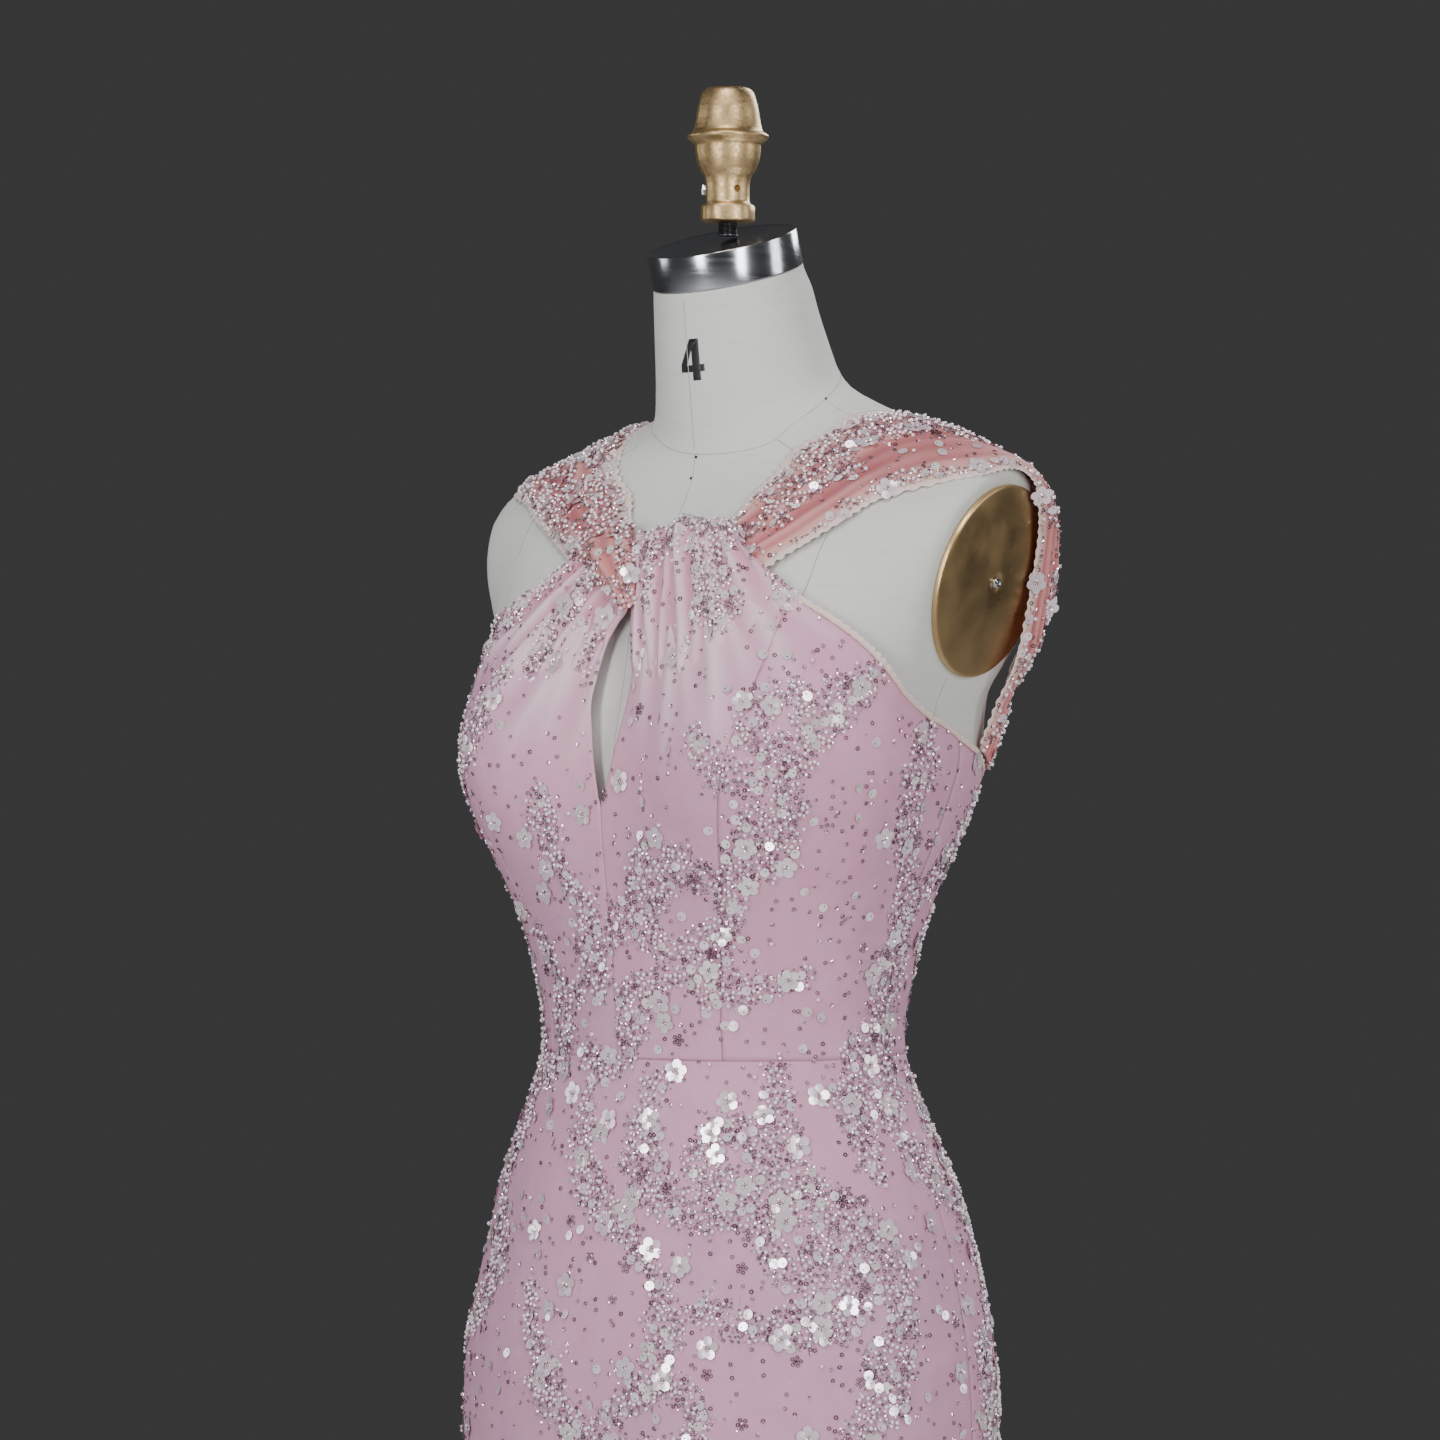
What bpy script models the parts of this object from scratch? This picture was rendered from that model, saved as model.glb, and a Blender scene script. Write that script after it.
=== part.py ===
"""A beaded halter evening gown on a limbless dress form.

The gown is cut and sewn from named panels: two centre fronts that part in a keyhole under a twisted
knot, two side fronts, two backs, two gathered straps, and a skirt of one front and two backs, closed
by a zip down the centre back. The form is a padded torso and neck with a steel neck cap, a cast
finial, two arm plates, a pole and a weighted base.

Metres, +Z up. The origin is on the floor under the middle of the form. The gown faces -Y, and its
wearer's left is +X. Angles run round the body from the centre front towards the wearer's left.
"""

import math
from collections import namedtuple

import bmesh
import bpy
import numpy as np
from mathutils import Matrix, Vector

MM = 0.001

# ---------------------------------------------------------------- driving dimensions

WAIST = 1070 * MM
HEM = 20 * MM
BACK_TOP = 1178 * MM
FORM_FOOT = 770 * MM
CHEST = 1330 * MM
NECK_FOOT = 1470 * MM
NECK_TOP = 1536 * MM
EASE = 2.6 * MM
CLOTH = 1.2 * MM
SEAM_GAP = 0.5 * MM
WAIST_GAP = 0.8 * MM
SEAT = 0.3 * MM
SIDE_SEAM = 98.0

# The body in level sections from the hem to the top of the neck, in millimetres: depth_centre is
# the section's middle in Y, roundness the power of the superellipse in front and behind, and tilt
# the slope of the section plane towards the back.
Section = namedtuple(
    "Section",
    "level depth_centre half_width front back roundness_front roundness_back tilt",
)
BODY = [
    Section(20, 5.5, 296, 296, 300, 2.0, 2.0, 0.00),
    Section(90, 4.5, 262, 260, 264, 2.0, 2.0, 0.00),
    Section(170, 3, 228, 222, 226, 2.0, 2.0, 0.00),
    Section(260, 1, 196, 184, 188, 2.0, 2.0, 0.00),
    Section(350, 0, 170, 154, 158, 2.05, 2.05, 0.00),
    Section(440, 0, 153, 132, 136, 2.1, 2.1, 0.00),
    Section(530, 0, 148, 121, 124, 2.15, 2.15, 0.00),
    Section(610, 0, 149, 119, 121, 2.2, 2.2, 0.00),
    Section(690, 0, 154, 121, 123, 2.2, 2.2, 0.00),
    Section(770, 0, 160, 125, 127, 2.2, 2.2, 0.00),
    Section(841, 0, 166, 130, 131, 2.2, 2.2, 0.00),
    Section(889, 0, 164, 129, 130, 2.2, 2.2, 0.00),
    Section(925, 0, 159, 124, 126, 2.15, 2.15, 0.00),
    Section(962, 0, 151, 118, 119, 2.1, 2.1, 0.00),
    Section(998, -2, 140, 111, 112, 2.1, 2.1, 0.00),
    Section(1034, -3, 124, 103, 103, 2.05, 2.05, 0.00),
    Section(1070, -4, 112, 94, 95, 2.0, 2.0, 0.00),
    Section(1106, -3, 113, 97, 97, 2.0, 2.0, 0.00),
    Section(1154, 0, 122, 104, 104, 2.1, 2.1, 0.00),
    Section(1203, 3, 136, 110, 113, 2.2, 2.5, 0.00),
    Section(1245, 6, 148, 110, 119, 2.3, 2.6, 0.00),
    Section(1290, 12, 158, 106, 110, 2.3, 2.6, 0.00),
    Section(1335, 24, 176, 110, 97, 2.3, 2.5, 0.02),
    Section(1370, 30, 186, 104, 84, 2.3, 2.4, 0.04),
    Section(1398, 33, 188, 92, 70, 2.3, 2.2, 0.10),
    Section(1416, 31, 176, 80, 62, 2.1, 2.1, 0.18),
    Section(1430, 27, 146, 69, 57, 2.0, 2.0, 0.27),
    Section(1443, 23, 106, 61, 53, 2.0, 2.0, 0.36),
    Section(1454, 20, 72, 56, 51, 2.0, 2.0, 0.43),
    Section(1464, 18, 58, 54, 52, 2.0, 2.0, 0.46),
    Section(1482, 14, 53, 52, 51, 2.0, 2.0, 0.42),
    Section(1502, 9, 50, 49.5, 49, 2.0, 2.0, 0.36),
    Section(1520, 5, 48, 47.5, 47, 2.0, 2.0, 0.32),
    Section(1536, 0, 45.5, 44, 44, 2.0, 2.0, 0.30),
]

# The bust is a soft swelling on each side. The cloth bridges the hollow between the two, so the
# gown reads it with a wider spread than the form.
BUST = {"side": 86 * MM, "level": 1252 * MM, "forward": 33 * MM, "outward": 11 * MM}
BUST_SPREAD = {"form": 42 * MM, "gown": 58 * MM, "above": 76 * MM, "below": 80 * MM}
BUST_FRONT_FADE = 0.25

# Each arm ends in a flat round land, and a brass plate is screwed to it. The land fades out above
# and below, and reaches so far off the plane of the plate.
PLATE_CENTRE = Vector((0.165, 0.041, 1.351))
PLATE_NORMAL = Vector((0.957, 0.110, -0.270)).normalized()
PLATE_RADIUS = 58.5
PLATE_RIM = 3.0
PLATE_DOME = 3.0
PLATE_EDGE = 0.8
SCREW_HEAD = [(0, 1.7), (1.8, 1.5), (3.2, 0.5), (3.2, 0), (0, 0)]
LAND_RADIUS = 60 * MM
LAND_FADE = 26 * MM
LAND_EDGE = 7 * MM
LAND_FADE_BELOW = (1235 * MM, 1285 * MM)
LAND_FADE_ABOVE = (1430 * MM, 1450 * MM)
LAND_CUT_REACH = 40 * MM
LAND_FILL_FADE = (-60 * MM, -20 * MM)

# Folds of the trumpet hem: where each stands, its half width in degrees and its depth at the hem.
Fold = namedtuple("Fold", "angle half_width depth")
HEM_FOLDS = [
    Fold(2, 24, 26),
    Fold(40, 20, 21),
    Fold(79, 22, 27),
    Fold(121, 21, 24),
    Fold(161, 19, 20),
    Fold(200, 21, 25),
    Fold(241, 22, 22),
    Fold(282, 20, 28),
    Fold(322, 21, 23),
]
FOLD_TOP = 560 * MM
FOLD_MEAN = 11 * MM
FOLD_GROWTH = 1.6

# Seams and edges as (angle in degrees, level in millimetres) on the body, where a degree is about
# as long as MM_PER_DEGREE.
Point = namedtuple("Point", "angle level")
MM_PER_DEGREE = 2.2
WAIST_LEVEL = WAIST / MM
CENTRE_FRONT = [Point(0, WAIST_LEVEL), Point(0, 1120), Point(0, 1170), Point(0, 1217)]
KEYHOLE_LEFT = [
    Point(0, 1217),
    Point(0.3, 1222),
    Point(1.7, 1247),
    Point(2.7, 1277),
    Point(2.6, 1305),
    Point(2.2, 1334),
]
KEYHOLE_RIGHT = [
    Point(0, 1217),
    Point(-0.3, 1222),
    Point(-2.0, 1257),
    Point(-3.1, 1281),
    Point(-2.4, 1308),
    Point(-0.6, 1334),
]
PRINCESS = [
    Point(35, WAIST_LEVEL),
    Point(34.5, 1165),
    Point(33, 1239),
    Point(35, 1280),
    Point(34, 1343),
]
PRINCESS_RIGHT = PRINCESS[:-1] + [Point(34, 1317)]
SIDE = [Point(SIDE_SEAM, WAIST_LEVEL), Point(98, 1145), Point(98.5, 1210), Point(99, 1256)]
CENTRE_BACK = [Point(180, WAIST_LEVEL), Point(180, 1125), Point(180, BACK_TOP / MM)]
NECK_LEFT = [Point(2.2, 1334), Point(9, 1347), Point(18, 1360), Point(26, 1355), Point(34, 1343)]
NECK_RIGHT = [Point(-0.6, 1334), Point(-6, 1342), Point(-14, 1338), Point(-21, 1329), Point(-34, 1317)]
ARMHOLE = [Point(34, 1343), Point(45.5, 1328), Point(59.5, 1309), Point(80.5, 1279), Point(99, 1256)]
ARMHOLE_RIGHT = [Point(34, 1317), Point(45.5, 1311), Point(59.5, 1300), Point(80.5, 1277), Point(99, 1256)]
BACK_EDGE = [
    Point(99, 1256),
    Point(117, 1242),
    Point(135, 1226),
    Point(157, 1196),
    Point(180, BACK_TOP / MM),
]

# Panels as grids of (columns, rows), and the levels at which the skirt's and the torso's rows
# change their spacing, with the rows up to each.
CURVE_STEPS = 200
FRONT_GRID = (13, 15)
SIDE_GRID = (9, 12)
BACK_GRID = (11, 8)
SKIRT_FRONT_COLUMNS = 37
SKIRT_BACK_COLUMNS = 16
SKIRT_ROWS = [(HEM, 0), (500 * MM, 7), (860 * MM, 3), (WAIST, 6)]
TORSO_ROWS = [(FORM_FOOT, 0), (WAIST, 8), (CHEST, 9), (NECK_FOOT, 11), (NECK_TOP, 3)]

# The torso's columns crowd together towards the arms by this much.
TORSO_COLUMNS = 38
TORSO_CROWDING = 0.18

# A strap from the knot over the shoulder to the back: both edges, and how far it stands off.
StrapRow = namedtuple("StrapRow", "inner_angle inner_level outer_angle outer_level lift")
STRAP_OVER = [
    StrapRow(71, 1450, 66, 1422, 2),
    StrapRow(93, 1450, 84, 1422, 2),
    StrapRow(112, 1444, 101, 1418, 3),
    StrapRow(126, 1430, 110, 1407, 5),
    StrapRow(133, 1404, 115, 1385, 6),
    StrapRow(135, 1372, 117, 1360, 6),
    StrapRow(134, 1340, 117, 1332, 7),
    StrapRow(132, 1306, 116, 1303, 9),
    StrapRow(129, 1272, 114, 1274, 7),
    StrapRow(126, 1239, 111, 1250, 1),
]
STRAP_LEFT = [
    StrapRow(12.5, 1386, 24, 1360, 2),
    StrapRow(16, 1404, 30, 1376, 2),
    StrapRow(23, 1424, 37, 1394, 2),
    StrapRow(43, 1444, 47, 1411, 2),
] + STRAP_OVER
STRAP_RIGHT = [
    StrapRow(3.0, 1384, 11.5, 1363, 2),
    StrapRow(6, 1400, 17, 1378, 2),
    StrapRow(15, 1425, 28, 1398, 2),
    StrapRow(41, 1445, 44, 1413, 2),
] + STRAP_OVER
STRAP_FOLDS = 3
STRAP_FOLD_DEPTH = 1.5 * MM
STRAP_ROWS = 25
STRAP_COLUMNS = 10

# The knot is two hooked loops of gathered cloth. Each row is a place on the body, how far the
# middle of the roll stands off the form there, and half the roll's height.
KnotRow = namedtuple("KnotRow", "angle level lift half_height")
KNOT_LEFT = [
    KnotRow(16.8, 1372, 9.5, 12),
    KnotRow(12.5, 1374, 12.5, 10),
    KnotRow(6.0, 1375.5, 15.5, 8.0),
    KnotRow(-0.5, 1374.5, 17.5, 7.5),
    KnotRow(-5.5, 1368, 17.0, 8.0),
    KnotRow(-6.2, 1356, 14.0, 7.5),
    KnotRow(-1.5, 1349, 11.0, 6.5),
    KnotRow(5.5, 1348.5, 9.5, 6.0),
    KnotRow(13.0, 1353, 12.0, 6.0),
]
KNOT_RIGHT = [
    KnotRow(-6.8, 1371, 6.0, 9),
    KnotRow(-3.5, 1366, 6.5, 6.5),
    KnotRow(0.0, 1362, 8.5, 4.3),
    KnotRow(4.2, 1360, 17.0, 4.0),
    KnotRow(8.6, 1354, 19.0, 5.0),
    KnotRow(6.8, 1345, 19.5, 6.5),
    KnotRow(0.5, 1340, 19.5, 7.5),
    KnotRow(-5.0, 1340, 16.0, 7.5),
    KnotRow(-10.8, 1344, 12.0, 6.0),
]
KNOT_HALF_DEPTH = 3.0 * MM
KNOT_LEAN = -0.25
KNOT_ROWS = 22
KNOT_SIDES = 10

# Gathers under the neck of each front, from a share of its height up.
GATHER_DEPTH = 1.6 * MM
GATHERS = 3
GATHER_START = 0.6
GATHER_FULL = 0.95

# Turned profiles as (radius, height) in millimetres, each from its own foot.
CAP_RADIUS = 46
CAP_HEIGHT = 22
CAP_EDGE = 1.2
CAP = [
    (0, CAP_HEIGHT),
    (CAP_RADIUS - CAP_EDGE, CAP_HEIGHT),
    (CAP_RADIUS, CAP_HEIGHT - CAP_EDGE),
    (CAP_RADIUS, SEAT / MM),
    (0, SEAT / MM),
]
FINIAL_FOOT = 1569 * MM
FINIAL = [
    (0, 80.5),
    (12.5, 80.5),
    (15.0, 78.6),
    (16.6, 75.0),
    (18.4, 68.0),
    (19.2, 62.0),
    (20.6, 55.5),
    (21.8, 53.5),
    (24.4, 52.2),
    (24.6, 50.2),
    (22.4, 48.6),
    (20.0, 46.6),
    (19.8, 42.0),
    (19.0, 37.0),
    (17.2, 31.5),
    (14.0, 27.0),
    (13.0, 22.0),
    (12.9, 11.5),
    (14.5, 10.2),
    (16.3, 9.4),
    (16.3, 0.8),
    (15.6, 0.0),
    (0, 0.0),
]
STEM_RADIUS = 6.0 * MM
POLE_RADIUS = 16 * MM
BASE_RADIUS = 190
BASE = [
    (0, 40),
    (17, 40),
    (30, 37),
    (44, 27),
    (90, 21),
    (BASE_RADIUS - 6, 15),
    (BASE_RADIUS, 9),
    (BASE_RADIUS, 0),
    (0, 0),
]

# Centre back closure.
ZIP_END = 890 * MM
ZIP_TOP_GAP = 3 * MM
ZIP_HALF_WIDTH = 3 * MM
ZIP_RADIUS = 100 * MM
ZIP_INNER = 1.0 * MM
ZIP_WALL = 0.8 * MM
ZIP_ROWS = 14
SLIDER = {"width": 5.0 * MM, "depth": 2.6 * MM, "height": 9.0 * MM}
SLIDER_BELOW_EDGE = 9.0 * MM
SLIDER_STAND_OFF = 0.5 * MM
BAIL = {"wire": 0.6 * MM, "reach": 3.0 * MM, "half_height": 2.4 * MM, "corner": 1.0 * MM}
BAIL_ROOT = 0.6 * MM
PULL = {"eye": 1.7 * MM, "head": 2.8 * MM, "eye_drop": 2.2 * MM, "stand_off": 1.25 * MM}
PULL_THICKNESS = 1.1 * MM
PULL_OUTLINE = [
    (1.7, -5.5),
    (1.5, -8.0),
    (2.0, -12.0),
    (2.7, -15.5),
    (2.6, -17.8),
    (1.4, -19.2),
    (0.0, -19.6),
]

# ---------------------------------------------------------------- scene, collections, materials


def clear_scene():
    for obj in list(bpy.data.objects):
        bpy.data.objects.remove(obj, do_unlink=True)


def collection(name):
    made = bpy.data.collections.new(name)
    bpy.context.scene.collection.children.link(made)
    return made


def material(name, colour, roughness, metallic=0.0):
    made = bpy.data.materials.new(name)
    made.use_nodes = True
    shader = made.node_tree.nodes["Principled BSDF"]
    shader.inputs["Base Color"].default_value = (*colour, 1.0)
    shader.inputs["Roughness"].default_value = roughness
    shader.inputs["Metallic"].default_value = metallic
    return made


def add_object(name, mesh, finish, parts):
    obj = bpy.data.objects.new(name, mesh)
    obj.data.materials.append(finish)
    parts.objects.link(obj)
    return obj


# ---------------------------------------------------------------- the body's surface


def smoothstep(value, low, high):
    ratio = np.clip((value - low) / (high - low), 0.0, 1.0)
    return ratio * ratio * (3 - 2 * ratio)


def catmull(rows, place):
    """Reads a table of rows at fractional row numbers, along a smooth curve through the rows."""
    rows = np.asarray(rows, float)
    last = len(rows) - 1
    place = np.clip(np.asarray(place, float), 0, last)
    index = np.minimum(place.astype(int), last - 1)
    step = (place - index)[..., None]
    before, start, end, after = (rows[np.clip(index + shift, 0, last)] for shift in (-1, 0, 1, 2))
    return 0.5 * (
        2 * start
        + (end - before) * step
        + (2 * before - 5 * start + 4 * end - after) * step**2
        + (3 * start - before - 3 * end + after) * step**3
    )


def sections_at(level):
    levels = [row.level for row in BODY]
    place = np.interp(np.asarray(level) / MM, levels, np.arange(len(BODY)))
    return np.moveaxis(catmull(BODY, place), -1, 0)


def bust_swelling(points, forward, spread):
    """Moves the front of the body out over each bust."""
    x, y, z = points
    height = np.where(z > BUST["level"], BUST_SPREAD["above"], BUST_SPREAD["below"])
    for side in (-1, 1):
        across = ((x - side * BUST["side"]) / spread) ** 2
        swell = np.exp(-across - ((z - BUST["level"]) / height) ** 2)
        swell = swell * smoothstep(forward, 0, BUST_FRONT_FADE)
        x = x + side * BUST["outward"] * swell
        y = y - BUST["forward"] * swell
    return x, y, z


def flatten_arm_lands(points, grow):
    """Cuts each shoulder back to the plane of its arm plate, and fills the land up to it."""
    for side in (-1, 1):
        flip = np.array([side, 1, 1])
        normal = np.array(PLATE_NORMAL) * flip
        offset = points - np.array(PLATE_CENTRE) * flip
        height = offset @ normal - grow
        near = smoothstep(points[..., 2], *LAND_FADE_BELOW)
        near = near * (1 - smoothstep(points[..., 2], *LAND_FADE_ABOVE))
        near = near * (points[..., 0] * side > 0) * (height > -LAND_CUT_REACH)
        cut = 0.5 * (height + np.sqrt(height**2 + LAND_EDGE**2)) * near
        points = points - normal * cut[..., None]
        offset = points - np.array(PLATE_CENTRE) * flip
        height = offset @ normal - grow
        radius = np.linalg.norm(offset - normal * (offset @ normal)[..., None], axis=-1)
        fill = 1 - smoothstep(radius, LAND_RADIUS, LAND_RADIUS + LAND_FADE)
        fill = fill * (points[..., 0] * side > 0) * smoothstep(height, *LAND_FILL_FADE)
        points = points - normal * (height * fill)[..., None]
    return points


def body_surface(angle, level, grow=0.0, spread="gown"):
    """Points of the body, grown outwards, at angles in radians and levels in metres."""
    angle, level = np.broadcast_arrays(np.asarray(angle, float), np.asarray(level, float))
    _, middle, width, front, back, round_front, round_back, tilt = sections_at(level)
    sine, forward = np.sin(angle), np.cos(angle)
    power = 2 / np.where(forward > 0, round_front, round_back)
    depth = np.where(forward > 0, front, back) * MM + grow
    x = (width * MM + grow) * np.sign(sine) * np.abs(sine) ** power
    y = middle * MM - depth * np.sign(forward) * np.abs(forward) ** power
    z = level + tilt * (y - middle * MM)
    points = np.stack(bust_swelling((x, y, z), forward, BUST_SPREAD[spread]), -1)
    return flatten_arm_lands(points, grow)


def outward_normals(points):
    """Unit normals of a grid of points, pointing away from the body's axis."""
    along, across = np.gradient(points, axis=0), np.gradient(points, axis=1)
    normal = np.cross(across, along)
    normal /= np.linalg.norm(normal, axis=-1, keepdims=True)
    away = points * np.array([1, 1, 0])
    return normal * np.where((normal * away).sum(-1) < 0, -1, 1)[..., None]


# ---------------------------------------------------------------- meshes from grids


def smooth_shade(mesh, sharp_degrees=50):
    mesh.shade_smooth()
    mesh.set_sharp_from_angle(angle=math.radians(sharp_degrees))


def grid_mesh(name, points, closed=False, capped=False):
    """A mesh of quads over a grid of points, faces out; closed joins the last column to the first."""
    rows, columns = points.shape[:2]
    shell = bmesh.new()
    corners = [[shell.verts.new(point) for point in row] for row in points]
    for upper, lower in zip(corners[1:], corners[:-1]):
        for column in range(columns if closed else columns - 1):
            after = (column + 1) % columns
            shell.faces.new((lower[column], lower[after], upper[after], upper[column]))
    if capped:
        shell.faces.new(corners[0][::-1])
        shell.faces.new(corners[-1])
        bmesh.ops.recalc_face_normals(shell, faces=shell.faces)
    mesh = bpy.data.meshes.new(name)
    shell.to_mesh(mesh)
    shell.free()
    smooth_shade(mesh)
    return mesh


def cloth_object(name, points, finish, parts, wall=CLOTH):
    """A wall of cloth: the grid is its inner side, and Solidify thickens it outwards."""
    obj = add_object(name, grid_mesh(name, points), finish, parts)
    solidify = obj.modifiers.new("Wall", "SOLIDIFY")
    solidify.thickness = wall
    solidify.offset = 1.0
    return obj


def turned_object(name, profile, finish, parts, steps=32):
    """A turned solid: the profile of (radius, height) runs from the top down its outer side."""
    mesh = bpy.data.meshes.new(name)
    points = [(radius * MM, 0, height * MM) for radius, height in profile]
    mesh.from_pydata(points, [(index, index + 1) for index in range(len(points) - 1)], [])
    obj = add_object(name, mesh, finish, parts)
    screw = obj.modifiers.new("Turn", "SCREW")
    screw.steps = screw.render_steps = steps
    screw.use_merge_vertices = True
    screw.merge_threshold = 0.00001
    return obj


# ---------------------------------------------------------------- panels


def edge_curve(table, count):
    """Evenly spaced (angle, level) points, in radians and metres, on a smooth curve through a table."""
    fine = catmull(table, np.linspace(0, len(table) - 1, CURVE_STEPS))
    steps = np.linalg.norm(np.diff(fine * [MM_PER_DEGREE, 1], axis=0), axis=1)
    lengths = np.concatenate([[0], np.cumsum(steps)])
    wanted = np.linspace(0, lengths[-1], count)
    angle, level = (np.interp(wanted, lengths, fine[:, column]) for column in (0, 1))
    return np.stack([np.radians(angle), level * MM], -1)


def mirrored(table):
    return [Point(-point.angle, point.level) for point in table]


def panel_grid(low_side, high_side, top, size):
    """(angle, level) over a panel between two seams, the waist and a shaped top."""
    columns, rows = size
    low, high = edge_curve(low_side, rows), edge_curve(high_side, rows)
    upper = edge_curve(top, columns)
    across = np.linspace(0, 1, columns)[None, :, None]
    upwards = np.linspace(0, 1, rows)[:, None, None]
    bottom = np.stack(
        [np.linspace(low[0, 0], high[0, 0], columns), np.full(columns, WAIST)], -1
    )
    sides = (1 - across) * low[:, None] + across * high[:, None]
    ends = (1 - upwards) * bottom[None] + upwards * upper[None]
    corners = (1 - upwards) * ((1 - across) * bottom[0] + across * bottom[-1])
    corners = corners + upwards * ((1 - across) * upper[0] + across * upper[-1])
    return sides + ends - corners


def part_seams(points):
    """Draws a panel's two sides in by half a seam's gap, along its rows."""
    points = points.copy()
    for side, inner in ((0, 1), (-1, -2)):
        step = points[:, inner] - points[:, side]
        step /= np.linalg.norm(step, axis=-1, keepdims=True)
        points[:, side] += step * SEAM_GAP / 2
    return points


def gathers(columns, rows):
    """Relief of the folds that deepen towards a front's neck."""
    across = np.linspace(0, 1, columns)[None, :]
    upwards = np.linspace(0, 1, rows)[:, None]
    rise = smoothstep(upwards, GATHER_START, GATHER_FULL)
    inside = np.sin(np.pi * across) ** 0.5
    return GATHER_DEPTH * rise * inside * (1 - np.cos(2 * np.pi * GATHERS * across)) / 2


def panel_points(grid, relief=None):
    """A bodice panel's inner side, parted from its neighbours at the seams and the waist."""
    points = body_surface(grid[..., 0], grid[..., 1], EASE)
    if relief is not None:
        points = points + outward_normals(points) * relief[..., None]
    points[0, :, 2] += WAIST_GAP / 2
    return part_seams(points)


def make_bodice(parts, cloth):
    folds = gathers(*FRONT_GRID)
    front_left = CENTRE_FRONT[:-1] + KEYHOLE_LEFT
    front_right = CENTRE_FRONT[:-1] + KEYHOLE_RIGHT
    princess_right, side_right = mirrored(PRINCESS_RIGHT), mirrored(SIDE)
    armhole_right, back_edge_right = mirrored(ARMHOLE_RIGHT)[::-1], mirrored(BACK_EDGE)[::-1]
    panels = {
        "bodice_front_left": (front_left, PRINCESS, NECK_LEFT, FRONT_GRID, folds),
        "bodice_front_right": (princess_right, front_right, NECK_RIGHT[::-1], FRONT_GRID, folds),
        "bodice_side_left": (PRINCESS, SIDE, ARMHOLE, SIDE_GRID, None),
        "bodice_side_right": (side_right, princess_right, armhole_right, SIDE_GRID, None),
        "bodice_back_left": (SIDE, CENTRE_BACK, BACK_EDGE, BACK_GRID, None),
        "bodice_back_right": (mirrored(CENTRE_BACK), side_right, back_edge_right, BACK_GRID, None),
    }
    for name, (low_side, high_side, top, size, relief) in panels.items():
        grid = panel_grid(low_side, high_side, top, size)
        cloth_object(name, panel_points(grid, relief), cloth, parts)


def hem_folds(angle, level):
    """How far the trumpet's folds push the cloth in or out."""
    degrees = np.degrees(angle) % 360
    total = np.zeros(np.broadcast(angle, level).shape)
    for fold in HEM_FOLDS:
        away = (degrees - fold.angle + 180) % 360 - 180
        ridge = np.where(np.abs(away) < fold.half_width, np.cos(np.pi * away / fold.half_width), -1)
        total = total + fold.depth * MM * (ridge + 1) / 2
    deepening = ((FOLD_TOP - np.minimum(level, FOLD_TOP)) / (FOLD_TOP - HEM)) ** FOLD_GROWTH
    return (total - FOLD_MEAN) * deepening


def spaced_levels(table):
    """Levels through a table of (level, rows up to it)."""
    ends, counts = zip(*table)
    return np.interp(np.arange(sum(counts) + 1), np.cumsum(counts), ends)


def skirt_panel(name, low, high, columns, parts, cloth):
    levels = spaced_levels(SKIRT_ROWS)[:, None]
    angles = np.radians(np.linspace(low, high, columns))[None, :]
    points = body_surface(angles, levels, EASE)
    radial = points * np.array([1, 1, 0])
    radial /= np.linalg.norm(radial, axis=-1, keepdims=True)
    points = points + radial * hem_folds(angles, levels)[..., None]
    points[-1, :, 2] -= WAIST_GAP / 2
    cloth_object(name, part_seams(points), cloth, parts)


def make_skirt(parts, cloth):
    back = SKIRT_BACK_COLUMNS
    skirt_panel("skirt_front", -SIDE_SEAM, SIDE_SEAM, SKIRT_FRONT_COLUMNS, parts, cloth)
    skirt_panel("skirt_back_left", SIDE_SEAM, 180, back, parts, cloth)
    skirt_panel("skirt_back_right", 180, 360 - SIDE_SEAM, back, parts, cloth)


def strap_points(table):
    """A gathered strap: folds run along it, and it stands off the shoulder as its rows say."""
    place = np.linspace(0, len(table) - 1, STRAP_ROWS)
    inner_angle, inner_level, outer_angle, outer_level, lift = catmull(table, place).T
    across = np.linspace(0, 1, STRAP_COLUMNS)[None, :]
    angle = np.radians(inner_angle[:, None] * (1 - across) + outer_angle[:, None] * across)
    level = MM * (inner_level[:, None] * (1 - across) + outer_level[:, None] * across)
    points = body_surface(angle, level, EASE + MM * lift[:, None])
    fold = (1 - np.cos(2 * np.pi * STRAP_FOLDS * across)) / 2
    return points + outward_normals(points) * (STRAP_FOLD_DEPTH * fold)[..., None]


def make_straps(parts, cloth):
    cloth_object("strap_left", strap_points(STRAP_LEFT), cloth, parts)
    right = strap_points(STRAP_RIGHT)[:, ::-1] * np.array([-1, 1, 1])
    cloth_object("strap_right", right, cloth, parts)


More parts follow.
